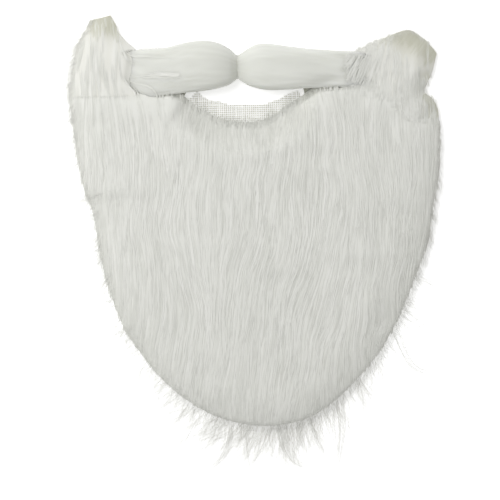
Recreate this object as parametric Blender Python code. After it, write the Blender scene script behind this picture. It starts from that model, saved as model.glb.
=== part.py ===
"""A white fake beard of long-pile fur cloth, lying face up on a flat surface.

X runs across the beard, +Y from the chin up to the ears and +Z away from the surface.
All tables are in millimetres from the middle of the beard, and one millimetre is MM.
A net cloth carries the fur. A roll of combed fibre, the moustache, is fixed to the cloth at
both ends and passes over the mouth opening.
"""
import math
from collections import namedtuple

import bmesh
import bpy
import numpy as np

MM = 0.001
SEED = 11

# Cloth: a net 1 mm thick, whose open weave shows under the mouth
CLOTH_THICK = 1.0
CLOTH_INSET = 3.0
SEAT_GAP = 0.3
NET_PITCH = 3.9
NET_HOLE = 2.7
NET_MARGIN = 1.5
NET_LOWEST_ROW = 94.0

# Fur: its height on the cloth, the width of its rounded rim and its locks
PILE_BASE = CLOTH_THICK + SEAT_GAP
PILE_HEIGHT = 12.5
RIM_HEIGHT = 3.2
RIM_WIDTH = 17.0
TOP_RIM_WIDTH = 15.0
PILE_COLUMNS = 56
PILE_ROWS = 28
LOCK_LENGTH = 56.0
LOCK_WIDTH = 17.0
LOCK_RISE = 4.0
LOCK_ROW_PITCH = 31.0
LOCK_PITCH = 13.6
LOCK_SCATTER = 5.0
LOCK_ROOT_SCATTER = 11.0
LOCK_LEAN = 0.2
LOCK_ROOT_HALF = 0.62
LOCK_TAPER = 0.3
LOCK_TIP_SHARE = 0.2

# Fringe: tapered locks that leave the rim and come down on the surface
FRINGE_PITCH = 11.5
FRINGE_END = 20.0
FRINGE_RADIUS = 4.4
FRINGE_ROOT_DEPTH = 9.0
FRINGE_ROOT_RISE = 7.0
FRINGE_SCATTER = 3.0
FRINGE_OUTWARD = (2.0, 5.0)
FRINGE_DOWNWARD = (5.0, 13.0)
FRINGE_SIDEWAYS = 2.5
FRINGE_POINTS = 4
WISP_POINTS = 7
TIP_RADIUS = 0.5
LOCK_FLATNESS = 0.5
ROOT_RISE = 0.6
TIP_RISE = 0.45
FRINGE_LEAVES = 0.62
WISP_LEAVES = 0.4

# Moustache: its roll is an oval whose lower side is pressed a little flat
ROLL_SIDES = 14
ROLL_STATIONS = 34
ROLL_PRESSED = 0.1
ROLL_CLEARANCE = 0.9
PINCH_X = -15.0
PINCH_SPAN = 10.0

# Ear fur: it keeps clear of the roll by more than a cell of its own grid
EAR_COLUMNS = 11
EAR_ROWS = 15
EAR_SEAM_GAP = 0.7
EAR_CLEAR_REACH = 7.0
EAR_LOCK_SHARE = 0.7

Point = namedtuple("Point", "x y")
RimPoint = namedtuple("RimPoint", "x y rim")
Section = namedtuple("Section", "x top bottom height base")
Crease = namedtuple("Crease", "x y length width depth angle")
Wisp = namedtuple("Wisp", "root_x root_y bend_x bend_y turn_x turn_y tip_x tip_y radius")
Fur = namedtuple("Fur", "height rim rim_width")

LEFT_EDGE = [
    Point(-153, 120), Point(-150, 97), Point(-146, 72), Point(-141, 47), Point(-134, 30), Point(-129, 2),
    Point(-122, -30), Point(-108, -68),
]
RIGHT_EDGE = [
    Point(151, 103), Point(151, 80), Point(150, 59), Point(147, 40), Point(143, 14), Point(138, -7),
    Point(130, -28), Point(118, -58),
]
CHIN_EDGE = [
    Point(-108, -68), Point(-82, -103), Point(-56, -126), Point(-27, -141), Point(8, -147), Point(42, -141),
    Point(70, -122), Point(99, -90), Point(118, -58),
]
# Upper edge of the beard's fur: it meets the ear fur, follows the moustache and thins out on the net
TOP_EDGE = [
    RimPoint(-153, 120, 4), RimPoint(-125, 120, 11), RimPoint(-98, 121.5, 10), RimPoint(-86, 122.8, 8),
    RimPoint(-62, 125.2, 5), RimPoint(-52, 118, 2), RimPoint(-32, 107, 1.4), RimPoint(-10, 103, 1.4),
    RimPoint(10, 106, 1.4), RimPoint(28, 118, 1.6), RimPoint(42, 126, 3), RimPoint(62, 130, 6),
    RimPoint(90, 130, 8), RimPoint(104, 127, 8), RimPoint(112, 117, 8), RimPoint(125, 105, 8),
    RimPoint(139, 103, 7), RimPoint(151, 103, 4),
]
MOUTH_EDGE = [
    Point(-48, 128), Point(-39, 122), Point(-28, 119), Point(-19, 117.5), Point(-8, 117.5), Point(9, 118.5),
    Point(27, 126), Point(35, 129.5),
]
# Cut edges of the cloth: from the left ear tab to the mouth, and from the mouth to the right ear tab
LEFT_TAB = [
    Point(-150, 122), Point(-149, 140), Point(-146, 158), Point(-141, 172), Point(-136.5, 178),
    Point(-136.5, 186.6), Point(-127, 189), Point(-119.6, 191), Point(-114.7, 182.5), Point(-113.8, 177.6),
    Point(-106.4, 169.3), Point(-100, 163), Point(-70, 156), Point(-55, 146),
]
RIGHT_TAB = [
    Point(42, 144), Point(56, 154), Point(80, 158), Point(90, 164), Point(107, 171), Point(125.4, 178.7),
    Point(139.3, 170.6), Point(148.4, 160.3), Point(148.4, 156.2), Point(145, 143), Point(138.5, 128.2),
    Point(145, 122), Point(148, 112),
]
MOUSTACHE = [
    Section(-112, 158, 141, 5, 1.3), Section(-103, 161.5, 132, 8, 1.3), Section(-90, 162.4, 123, 13, 1.3),
    Section(-74, 163.6, 124.5, 18, 1.3), Section(-59, 167.3, 126.6, 22, 1.3),
    Section(-43, 169.3, 128.4, 24.5, 0.6), Section(-31, 167.7, 130.4, 24, 0.3),
    Section(-22, 163.2, 133, 20.5, 0.3), Section(-17.5, 159.2, 136.2, 16, 0.3),
    Section(-14.8, 157.2, 138.4, 13.5, 0.3), Section(-12, 159, 136.6, 16, 0.3),
    Section(-6, 163, 132.6, 21, 0.3), Section(2, 166.3, 130, 24.5, 0.3), Section(12, 166.5, 128.6, 26, 0.3),
    Section(27, 164.4, 129.1, 25.5, 0.4), Section(41, 162.8, 130.4, 23, 1.3),
    Section(61, 161.6, 130.9, 19, 1.3), Section(80, 160.6, 131, 15, 1.3), Section(94, 158, 131.2, 10, 1.3),
    Section(107, 152, 134, 5, 1.3),
]
# Dents of the roll, where its fibre is pulled down to the cloth
ROLL_DENTS = [
    Crease(56, 134, 26, 9, 4.0, 12), Crease(73, 157, 18, 7, 2.6, -8), Crease(-62, 130, 30, 8, 2.2, 5),
]
# Dents of the fur, read from the photograph's dark creases, and a negative depth is a raised lock
CREASES = [
    Crease(-100, 37, 36, 13, 4.0, -6), Crease(-114, 46, 24, 11, -2.2, -20), Crease(-100, -3, 18, 8, 3.0, 0),
    Crease(-100, 97, 14, 12, 2.5, 80), Crease(-128, 104, 12, 10, 2.2, 60), Crease(-34, 20, 18, 10, 2.6, 20),
    Crease(92, 97, 12, 10, 2.4, 75), Crease(69, 71, 14, 10, 2.2, 80), Crease(112, 42, 22, 10, -2.6, 55),
    Crease(131, 15, 14, 8, -2.2, 30), Crease(128, 23, 12, 7, 2.8, 20), Crease(123, 87, 30, 12, -1.8, 85),
    Crease(105, -63, 20, 9, 3.4, 30), Crease(95, -43, 22, 12, -2.4, 70), Crease(-5, -100, 34, 11, 2.0, 4),
    Crease(30, -20, 40, 12, 1.8, 82), Crease(-60, -55, 44, 12, 1.8, 96), Crease(12, 60, 44, 12, 1.6, 88),
]
# Long wisps that lie on the surface past the rim, each a curve with two bends
WISPS = [
    Wisp(-120, 42, -134, 40, -142, 35, -151, 36, 2.2), Wisp(-122, 34, -132, 29, -140, 25, -147, 20, 1.8),
    Wisp(-112, -20, -124, -26, -130, -42, -138, -53, 2.0),
    Wisp(-95, -62, -106, -68, -114, -72, -121, -76, 2.0),
    Wisp(-90, -76, -112, -90, -150, -96, -139, -111, 2.4),
    Wisp(-62, -112, -66, -124, -74, -128, -83, -133, 2.0),
    Wisp(-42, -128, -52, -144, -58, -166, -79, -185, 2.8),
    Wisp(-24, -132, -18, -160, -24, -178, -48, -186, 2.8),
    Wisp(-7, -136, -10, -160, -6, -176, -5, -190, 2.0), Wisp(20, -134, 20, -160, 26, -182, 47, -181, 2.2),
    Wisp(42, -130, 50, -148, 50, -164, 60, -173, 2.2), Wisp(66, -112, 74, -142, 70, -168, 65, -189, 2.6),
    Wisp(110, -56, 122, -84, 122, -106, 152, -104, 2.4),
    Wisp(110, -46, 124, -54, 136, -66, 147, -72, 2.0),
    Wisp(126, -22, 138, -26, 144, -30, 151, -36, 2.0),
]
EAR_LEFT = {
    "top": [Point(-138, 179), Point(-133, 183), Point(-126, 184.5), Point(-118.5, 185)],
    "left": [Point(-138, 179), Point(-146, 168), Point(-150, 152), Point(-152.5, 136), Point(-153, 120)],
    "right": [
        Point(-118.5, 185), Point(-115.5, 178), Point(-108, 169.5), Point(-99, 163), Point(-94, 154),
        Point(-100, 143), Point(-104, 134), Point(-98, 121.5),
    ],
    "bottom": [Point(row.x, row.y) for row in TOP_EDGE[:3]],
}
EAR_RIGHT = {
    "top": [Point(79, 159.5), Point(91, 167), Point(102, 172.5), Point(123, 175), Point(137.5, 167)],
    "left": [Point(79, 159.5), Point(76, 148), Point(80, 137), Point(90, 130)],
    "right": [
        Point(137.5, 167), Point(146, 159), Point(144.5, 143), Point(138.5, 128.5), Point(145, 123),
        Point(150, 114), Point(151, 103),
    ],
    "bottom": [Point(row.x, row.y) for row in TOP_EDGE[-6:]],
}
EAR_FUR = Fur(height=10.5, rim=2.4, rim_width=14.0)
EAR_FUR_OVER_ROLL = 2.0


def linear(hex_colour):
    """Linear RGBA of an sRGB hex colour."""
    parts = [int(hex_colour[k:k + 2], 16) / 255 for k in (1, 3, 5)]
    return [c / 12.92 if c <= 0.04045 else ((c + 0.055) / 1.055) ** 2.4 for c in parts] + [1.0]


def make_material(name, colour, roughness):
    """A Principled material of one colour, for fibre and cloth."""
    material = bpy.data.materials.new(name)
    material.use_nodes = True
    shader = material.node_tree.nodes["Principled BSDF"]
    shader.inputs["Base Color"].default_value = linear(colour)
    shader.inputs["Roughness"].default_value = roughness
    shader.inputs["Metallic"].default_value = 0.0
    return material


def smooth_curve(points, count):
    """Evenly spread points of a Catmull-Rom curve through a table's rows, all columns kept."""
    rows = np.asarray(points, float)
    padded = np.vstack([2 * rows[0] - rows[1], rows, 2 * rows[-1] - rows[-2]])
    t = np.linspace(0, 1, 20, endpoint=False)[:, None]
    spans = []
    for a, b, c, d in zip(padded[:-3], padded[1:-2], padded[2:-1], padded[3:]):
        cubic = (3 * b - a - 3 * c + d) * t ** 3
        spans.append(0.5 * (2 * b + (c - a) * t + (2 * a - 5 * b + 4 * c - d) * t ** 2 + cubic))
    fine = np.vstack(spans + [rows[-1:]])
    along = np.concatenate([[0], np.cumsum(np.linalg.norm(np.diff(fine[:, :2], axis=0), axis=1))])
    even = np.linspace(0, along[-1], count)
    return np.column_stack([np.interp(even, along, column) for column in fine.T])


def patch(top, bottom, left, right):
    """Coons patch: the grid of points that four edge curves bound, row by row from the top."""
    u = np.linspace(0, 1, len(top))[None, :, None]
    v = np.linspace(0, 1, len(left))[:, None, None]
    ruled = (1 - v) * top[None] + v * bottom[None] + (1 - u) * left[:, None] + u * right[:, None]
    upper_corners = (1 - v) * ((1 - u) * top[0] + u * top[-1])
    lower_corners = v * ((1 - u) * bottom[0] + u * bottom[-1])
    return ruled - upper_corners - lower_corners


def distance_to(points, line):
    """Distance in plan from each grid point to a polyline."""
    start, end = line[:-1, :2], line[1:, :2]
    span = end - start
    offset = points[..., None, :2] - start
    t = np.clip((offset * span).sum(-1) / np.maximum((span ** 2).sum(-1), 1e-9), 0, 1)
    return np.linalg.norm(offset - t[..., None] * span, axis=-1).min(-1)


def dome(distance, width, rim, full):
    """Height that rises from the rim to the full height along a quarter ellipse."""
    inward = 1 - np.clip(distance / width, 0, 1)
    return rim + (full - rim) * np.sqrt(1 - inward ** 2)


def crease_depth(x, y, creases):
    """Depth of long oval dents with soft sides, each turned by its own angle."""
    depth = np.zeros_like(x)
    for crease in creases:
        angle = math.radians(crease.angle)
        along = (x - crease.x) * math.cos(angle) + (y - crease.y) * math.sin(angle)
        across = (y - crease.y) * math.cos(angle) - (x - crease.x) * math.sin(angle)
        spread = (2 * along / crease.length) ** 2 + (2 * across / crease.width) ** 2
        depth += crease.depth * np.exp(-spread)
    return depth


def lock_relief(x, y, rng):
    """Rows of overlapping locks: each swells from its root, is round across and ends in a step."""
    relief = np.zeros_like(x)
    for row_y in np.arange(y.max() + LOCK_LENGTH / 2, y.min(), -LOCK_ROW_PITCH):
        centres = np.arange(x.min(), x.max(), LOCK_PITCH)
        for centre in centres + rng.uniform(-LOCK_SCATTER, LOCK_SCATTER, len(centres)):
            lean = rng.uniform(-LOCK_LEAN, LOCK_LEAN)
            rise = LOCK_RISE * rng.uniform(0.5, 1.0)
            root_y = row_y + rng.uniform(-LOCK_ROOT_SCATTER, LOCK_ROOT_SCATTER)
            along = (root_y - y) / LOCK_LENGTH
            half_width = LOCK_WIDTH * (LOCK_ROOT_HALF - LOCK_TAPER * along)
            across = (x - centre - lean * (root_y - y)) / half_width
            swell = np.sqrt(np.clip(along, 0, 1)) * np.clip((1 - along) / LOCK_TIP_SHARE, 0, 1)
            relief = np.maximum(relief, rise * swell * np.clip(1 - across ** 2, 0, 1))
    return relief


def add_object(name, vertices, faces, material, collection):
    """A mesh object from points in millimetres, its normals turned outwards."""
    mesh = bpy.data.meshes.new(name)
    mesh.from_pydata((np.asarray(vertices) * MM).tolist(), [], faces)
    work = bmesh.new()
    work.from_mesh(mesh)
    bmesh.ops.recalc_face_normals(work, faces=work.faces)
    work.to_mesh(mesh)
    work.free()
    mesh.shade_smooth()
    mesh.set_sharp_from_angle(angle=math.radians(50))
    mesh.materials.append(material)
    obj = bpy.data.objects.new(name, mesh)
    collection.objects.link(obj)
    return obj


def add_layer(name, plan, lower, upper, material, collection):
    """A closed layer over a plan grid: a loft of its upper sheet, its lower sheet and its rim wall."""
    rows, columns = plan.shape[:2]
    count = rows * columns
    index = np.arange(count).reshape(rows, columns)
    flat = np.ptp(lower) == 0
    rim = np.concatenate([index[0], index[1:, -1], index[-1, -2::-1], index[-2:0:-1, 0]])
    top = np.dstack([plan, upper]).reshape(count, 3)
    bottom = np.dstack([plan, lower]).reshape(count, 3)
    quads = np.stack([index[:-1, :-1], index[1:, :-1], index[1:, 1:], index[:-1, 1:]], -1).reshape(-1, 4)
    faces = quads.tolist()
    if flat:
        bottom = bottom[rim]
        lower_rim = count + np.arange(len(rim))
        faces.append(lower_rim.tolist())
    else:
        lower_rim = count + rim
        faces += (quads[:, ::-1] + count).tolist()
    following = np.roll(rim, -1), np.roll(lower_rim, -1)
    faces += np.stack([rim, following[0], following[1], lower_rim], -1).tolist()
    return add_object(name, np.vstack([top, bottom]), faces, material, collection)


def roll_section(x):
    """Top, bottom, height and base of the moustache's roll at each x."""
    table = smooth_curve([(s.x, 0, s.top, s.bottom, s.height, s.base) for s in MOUSTACHE], 400)
    return [np.interp(x, table[:, 0], table[:, k]) for k in (2, 3, 4, 5)]


def roll_top(x, y):
    """Height of the roll's upper surface over any point, or zero beside it."""
    top, bottom, height, base = roll_section(x)
    across = (y - (top + bottom) / 2) / ((top - bottom) / 2)
    inside = (np.abs(across) < 1) & (x > MOUSTACHE[0].x) & (x < MOUSTACHE[-1].x)
    surface = base + height / 2 * (1 + np.sqrt(np.clip(1 - across ** 2, 0, 1)))
    return np.where(inside, surface, 0.0)


def make_moustache(material, collection):
    """The padded roll: oval sections lofted along X, flattened where they rest, with its dents."""
    x = np.linspace(MOUSTACHE[0].x, MOUSTACHE[-1].x, ROLL_STATIONS)
    x = np.sort(np.append(x, [s.x for s in MOUSTACHE if abs(s.x - PINCH_X) < PINCH_SPAN]))
    top, bottom, height, base = [column[:, None] for column in roll_section(x)]
    angle = np.linspace(0, 2 * math.pi, ROLL_SIDES, endpoint=False)[None, :]
    y = (top + bottom) / 2 + (top - bottom) / 2 * np.cos(angle)
    lift = np.sin(angle)
    lift = np.where(lift < 0, lift * (1 - ROLL_PRESSED) - ROLL_PRESSED * lift ** 2, lift)
    z = base + height / 2 * (1 + lift)
    x = np.broadcast_to(x[:, None], y.shape)
    z = z - crease_depth(x, y, ROLL_DENTS) * np.clip(lift, 0, 1)
    rings = np.arange(y.size).reshape(y.shape)
    turned = np.roll(rings, -1, axis=1)
    faces = np.stack([rings[:-1], rings[1:], turned[1:], turned[:-1]], -1).reshape(-1, 4).tolist()
    faces += [rings[0].tolist(), rings[-1].tolist()]
    return add_object("moustache", np.dstack([x, y, z]).reshape(-1, 3), faces, material, collection)


def cloth_outline():
    """The cloth's cut outline: both ear tabs, the rim inside the fur, and the mouth's edge."""
    rim = np.vstack([
        smooth_curve(RIGHT_EDGE, 16),
        smooth_curve(CHIN_EDGE, 30)[::-1][1:],
        smooth_curve(LEFT_EDGE, 16)[::-1][1:],
    ])
    along = np.gradient(rim, axis=0)
    along /= np.linalg.norm(along, axis=1, keepdims=True)
    inward = np.column_stack([along[:, 1], -along[:, 0]])
    rim = rim + CLOTH_INSET * inward
    mouth = smooth_curve(MOUTH_EDGE, 14)
    return np.vstack([rim[1:-1], LEFT_TAB, mouth, RIGHT_TAB])


def flat_plate(name, outline, thick, material, collection):
    """A flat cut piece: a filled 2D curve, extruded both ways and made a mesh with its caps welded."""
    curve = bpy.data.curves.new(name, "CURVE")
    curve.dimensions = "2D"
    curve.fill_mode = "BOTH"
    curve.extrude = thick / 2 * MM
    spline = curve.splines.new("POLY")
    spline.points.add(len(outline) - 1)
    for point, (x, y) in zip(spline.points, outline):
        point.co = (x * MM, y * MM, 0, 1)
    spline.use_cyclic_u = True
    shape = bpy.data.objects.new(name + "_shape", curve)
    collection.objects.link(shape)
    shape.location.z = thick / 2 * MM
    return curve_to_mesh(shape, name, material, collection)


def curve_to_mesh(shape, name, material, collection):
    """The mesh object of an evaluated curve, in the curve's place, with its caps welded."""
    bpy.context.view_layer.update()
    evaluated = shape.evaluated_get(bpy.context.evaluated_depsgraph_get())
    mesh = bpy.data.meshes.new_from_object(evaluated)
    mesh.transform(shape.matrix_world)
    mesh.name = name
    work = bmesh.new()
    work.from_mesh(mesh)
    bmesh.ops.remove_doubles(work, verts=work.verts, dist=0.00002)
    bmesh.ops.recalc_face_normals(work, faces=work.faces)
    work.to_mesh(mesh)
    work.free()
    mesh.materials.clear()
    mesh.materials.append(material)
    bpy.data.objects.remove(shape)
    obj = bpy.data.objects.new(name, mesh)
    collection.objects.link(obj)
    return obj


def add_boolean(target, cutter, operation):
    """An exact Boolean modifier whose cutter is hidden."""
    cutter.hide_render = True
    cutter.display_type = "WIRE"
    modifier = target.modifiers.new(operation.lower(), "BOOLEAN")
    modifier.object = cutter
    modifier.operation = operation
    modifier.solver = "EXACT"
    modifier.use_self = operation == "UNION"


def make_backing(material, collection, cutters):
    """The net cloth, pierced where its weave shows between the mouth's edge and the fur."""
    cloth = flat_plate("net_backing", cloth_outline(), CLOTH_THICK, material, collection)
    mouth = smooth_curve(MOUTH_EDGE, 200)
    fur = smooth_curve(TOP_EDGE, 400)
    work = bmesh.new()
    half = NET_HOLE / 2 + NET_MARGIN
    for x in np.arange(MOUTH_EDGE[0].x - NET_PITCH, MOUTH_EDGE[-1].x + NET_PITCH, NET_PITCH):
        span = [x - half, x, x + half]
        upper = np.interp(span, mouth[:, 0], mouth[:, 1]).min() - half
        lower = np.interp(span, fur[:, 0], fur[:, 1]).min() - NET_PITCH
        for y in np.arange(NET_LOWEST_ROW, MOUTH_EDGE[-1].y, NET_PITCH):
            if lower < y < upper:
                made = bmesh.ops.create_cube(work, size=1.0)["verts"]
                bmesh.ops.scale(work, vec=(NET_HOLE * MM, NET_HOLE * MM, 4 * CLOTH_THICK * MM), verts=made)
                bmesh.ops.translate(work, vec=(x * MM, y * MM, CLOTH_THICK / 2 * MM), verts=made)
    mesh = bpy.data.meshes.new("net_gaps")
    work.to_mesh(mesh)
    work.free()
    gaps = bpy.data.objects.new("net_gaps", mesh)
    cutters.objects.link(gaps)
    add_boolean(cloth, gaps, "DIFFERENCE")
    return cloth


def bezier(wisp, count):
    """Points of the cubic curve that a wisp's root, two bends and tip control."""
    t = np.linspace(0, 1, count)[:, None]
    root, bend = np.array([wisp.root_x, wisp.root_y]), np.array([wisp.bend_x, wisp.bend_y])
    turn, tip = np.array([wisp.turn_x, wisp.turn_y]), np.array([wisp.tip_x, wisp.tip_y])
    start = (1 - t) ** 3 * root + 3 * (1 - t) ** 2 * t * bend
    return start + 3 * (1 - t) * t ** 2 * turn + t ** 3 * tip


def make_fringe(material, cutters, rng):
    """Tapered locks on the outer rim and the long wisps, as one bevelled curve flattened in Z."""
    curve = bpy.data.curves.new("fringe", "CURVE")
    curve.dimensions = "3D"
    curve.bevel_depth = 1.0 * MM
    curve.bevel_resolution = 0
    curve.use_fill_caps = True

    def add_lock(plan, radius, leaves):
        t = np.linspace(0, 1, len(plan))
        width = TIP_RADIUS + (radius - TIP_RADIUS) * (1 - t ** 2)
        under = np.interp(t, [0, leaves, 1], [PILE_BASE + ROOT_RISE, PILE_BASE + ROOT_RISE, TIP_RISE])
        spline = curve.splines.new("POLY")
        spline.points.add(len(plan) - 1)
        for point, (x, y), z, r in zip(spline.points, plan, under + width * LOCK_FLATNESS, width):
            point.co = (x * MM, y * MM, z / LOCK_FLATNESS * MM, 1)
            point.radius = r

    sides = smooth_curve(LEFT_EDGE, 80), smooth_curve(RIGHT_EDGE, 80)[::-1]
    edge = np.vstack([sides[0], smooth_curve(CHIN_EDGE, 120), sides[1]])
    along = np.concatenate([[0], np.cumsum(np.linalg.norm(np.diff(edge, axis=0), axis=1))])
    for place in np.arange(FRINGE_END, along[-1] - FRINGE_END, FRINGE_PITCH):
        place = place + rng.uniform(-FRINGE_SCATTER, FRINGE_SCATTER)
        here = np.array([np.interp(place, along, edge[:, k]) for k in (0, 1)])
        ahead = np.array([np.interp(place + 2, along, edge[:, k]) for k in (0, 1)]) - here
        outward = np.array([ahead[1], -ahead[0]]) / np.linalg.norm(ahead)
        fall = np.array([rng.uniform(-FRINGE_SIDEWAYS, FRINGE_SIDEWAYS), -rng.uniform(*FRINGE_DOWNWARD)])
        reach = outward * rng.uniform(*FRINGE_OUTWARD) + fall
        root = here - outward * FRINGE_ROOT_DEPTH + np.array([0, FRINGE_ROOT_RISE])
        lock = Wisp(*root, *here, *(here + reach * 0.6), *(here + reach), FRINGE_RADIUS)
        add_lock(bezier(lock, FRINGE_POINTS), lock.radius, FRINGE_LEAVES)
    for wisp in WISPS:
        add_lock(bezier(wisp, WISP_POINTS), wisp.radius, WISP_LEAVES)
    shape = bpy.data.objects.new("fringe_shape", curve)
    cutters.objects.link(shape)
    shape.scale.z = LOCK_FLATNESS
    return curve_to_mesh(shape, "fringe_locks", material, cutters)


def make_pile(material, collection, cutters, rng):
    """The beard's fur: a domed layer with locks and creases, its fringe fused to its rim."""
    top = smooth_curve(TOP_EDGE, PILE_COLUMNS + 1)
    chin = smooth_curve(CHIN_EDGE, PILE_COLUMNS + 1)
    left = smooth_curve(LEFT_EDGE, PILE_ROWS + 1)
    right = smooth_curve(RIGHT_EDGE, PILE_ROWS + 1)
    plan = patch(top[:, :2], chin, left, right)
    plan[0, :, 1] -= EAR_SEAM_GAP
    x, y = plan[..., 0], plan[..., 1]
    outer = distance_to(plan, np.vstack([left, chin[1:], right[::-1][1:]]))
    inner = distance_to(plan, top)
    full = PILE_HEIGHT + lock_relief(x, y, rng) - crease_depth(x, y, CREASES)
    upper_rim = dome(inner, TOP_RIM_WIDTH, top[None, :, 2], full)
    height = np.minimum(dome(outer, RIM_WIDTH, RIM_HEIGHT, full), upper_rim)
    lower = np.full_like(height, PILE_BASE)
    pile = add_layer("beard_pile", plan, lower, PILE_BASE + height, material, collection)
    add_boolean(pile, make_fringe(material, cutters, rng), "UNION")
    return pile


def make_ear_fur(name, edges, material, collection, rng):
    """Fur on an ear tab: a domed layer that climbs over the end of the moustache."""
    curves = {side: smooth_curve(points, EAR_COLUMNS if side in ("top", "bottom") else EAR_ROWS)
              for side, points in edges.items()}
    plan = patch(curves["top"], curves["bottom"], curves["left"], curves["right"])
    plan[-1, :, 1] += EAR_SEAM_GAP
    x, y = plan[..., 0], plan[..., 1]
    turns = np.arange(0, 2 * math.pi, math.pi / 6)
    offsets = [(reach * math.cos(turn), reach * math.sin(turn))
               for turn in turns for reach in (0, EAR_CLEAR_REACH / 2, EAR_CLEAR_REACH)]
    under = np.max([roll_top(x + dx, y + dy) for dx, dy in offsets], axis=0)
    lower = np.maximum(PILE_BASE, under + ROLL_CLEARANCE)
    outer = distance_to(plan, np.vstack([curves["left"][::-1], curves["top"][1:], curves["right"][1:]]))
    full = EAR_FUR.height + EAR_LOCK_SHARE * lock_relief(x, y, rng)
    domed = PILE_BASE + dome(outer, EAR_FUR.rim_width, EAR_FUR.rim, full)
    upper = np.maximum(domed, lower + EAR_FUR_OVER_ROLL)
    return add_layer(name, plan, lower, upper, material, collection)


def centre_on_origin(objects, frame):
    """Parent the pieces to an empty that puts the middle of their box over the origin."""
    bpy.context.view_layer.update()
    depsgraph = bpy.context.evaluated_depsgraph_get()
    corners = []
    for obj in objects:
        mesh = obj.evaluated_get(depsgraph).to_mesh()
        points = np.empty(len(mesh.vertices) * 3)
        mesh.vertices.foreach_get("co", points)
        points = points.reshape(-1, 3)
        corners += [points.min(0), points.max(0)]
    low, high = np.min(corners, axis=0), np.max(corners, axis=0)
    frame.location = (-(low[0] + high[0]) / 2, -(low[1] + high[1]) / 2, -low[2])


def main():
    for old in list(bpy.data.objects):
        bpy.data.objects.remove(old)
    parts = bpy.data.collections.new("fake_beard")
    cutters = bpy.data.collections.new("fake_beard_cutters")
    for collection in (parts, cutters):
        bpy.context.scene.collection.children.link(collection)
    net = make_material("net_cloth", "#E0E0D8", 0.9)
    fur = make_material("long_pile_fur", "#DADBD4", 0.7)
    ear = make_material("ear_fur", "#D2D2C6", 0.75)
    fibre = make_material("combed_fibre", "#D3D4CE", 0.55)
    rng = np.random.default_rng(SEED)
    pieces = [
        make_backing(net, parts, cutters),
        make_pile(fur, parts, cutters, rng),
        make_ear_fur("ear_fur_left", EAR_LEFT, ear, parts, rng),
        make_ear_fur("ear_fur_right", EAR_RIGHT, ear, parts, rng),
        make_moustache(fibre, parts),
    ]
    frame = bpy.data.objects.new("fake_beard_frame", None)
    parts.objects.link(frame)
    centre_on_origin(pieces, frame)
    for obj in pieces + list(cutters.objects):
        obj.parent = frame


main()
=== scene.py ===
import math

import bpy
import numpy as np
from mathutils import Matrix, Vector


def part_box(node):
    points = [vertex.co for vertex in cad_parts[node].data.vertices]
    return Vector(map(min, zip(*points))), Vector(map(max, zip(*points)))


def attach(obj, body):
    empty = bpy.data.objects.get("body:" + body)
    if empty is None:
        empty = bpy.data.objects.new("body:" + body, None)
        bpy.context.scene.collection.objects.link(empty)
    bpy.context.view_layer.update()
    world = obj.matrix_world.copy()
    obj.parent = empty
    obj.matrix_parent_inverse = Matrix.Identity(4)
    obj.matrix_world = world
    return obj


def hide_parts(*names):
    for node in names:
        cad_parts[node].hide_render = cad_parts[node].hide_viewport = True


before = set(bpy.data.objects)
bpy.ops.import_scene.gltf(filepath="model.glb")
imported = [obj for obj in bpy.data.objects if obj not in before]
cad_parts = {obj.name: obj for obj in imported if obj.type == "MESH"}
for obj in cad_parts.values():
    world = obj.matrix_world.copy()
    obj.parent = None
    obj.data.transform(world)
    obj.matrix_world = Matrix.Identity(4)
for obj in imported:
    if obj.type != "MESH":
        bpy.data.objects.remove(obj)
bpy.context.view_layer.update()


# Camera: the photograph is taken from straight above, with the chin towards its lower edge.
# Every table below is in millimetres from the middle of the beard, as the part's own tables are,
# and SHIFT takes it to the frame, so that each piece lies where its solid does.
MM = 0.001
PIXEL = 0.822 * MM
PHOTO_SIDE_PX = 500
TABLE_ORIGIN_PX = (255.5, 247.0)
MOUSTACHE_LEFT_END = -112
TAB_TOP = 191
SHIFT = np.array([
    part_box("moustache")[0][0] - MOUSTACHE_LEFT_END * MM,
    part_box("net_backing")[1][1] - TAB_TOP * MM,
    0.0,
])
CAMERA_HEIGHT = 2.6
FOCUS_HEIGHT = 8 * MM
SENSOR_WIDTH = 36.0


def add_object(name, data):
    """Adds an object to the scene."""
    added = bpy.data.objects.new(name, data)
    bpy.context.scene.collection.objects.link(added)
    return added


camera_data = bpy.data.cameras.new("camera_above")
camera_data.sensor_width = SENSOR_WIDTH
camera_data.lens = SENSOR_WIDTH * (CAMERA_HEIGHT - FOCUS_HEIGHT) / (PHOTO_SIDE_PX * PIXEL)
camera = add_object("camera_above", camera_data)
camera.location = (
    (PHOTO_SIDE_PX / 2 - TABLE_ORIGIN_PX[0]) * PIXEL + SHIFT[0],
    (TABLE_ORIGIN_PX[1] - PHOTO_SIDE_PX / 2) * PIXEL + SHIFT[1],
    CAMERA_HEIGHT,
)
bpy.context.scene.camera = camera


# Backing cloth: a white net of cotton thread, cut to a shield with an ear tab at each top corner.
# It lies flat under the fur. Where it shows bare under the mouth, the next section weaves it from its
# threads, so the plain sheet ends a little inside the fur there. At the ends of the tabs the sheet runs out
# to the cut edge.
CLOTH_THICK = 1.0
CLOTH_INSET = 3.0
NET_UNDER_FUR = 7.0
NET_PITCH = 1.72
SLUBS_A_METRE = 240.0
LEFT_EDGE = [
    (-153, 120), (-150, 97), (-146, 72), (-141, 47), (-134, 30), (-129, 2), (-122, -30), (-108, -68),
]
RIGHT_EDGE = [(151, 103), (151, 80), (150, 59), (147, 40), (143, 14), (138, -7), (130, -28), (118, -58)]
CHIN_EDGE = [
    (-108, -68), (-82, -103), (-56, -126), (-27, -141), (8, -147), (42, -141), (70, -122), (99, -90),
    (118, -58),
]
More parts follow.
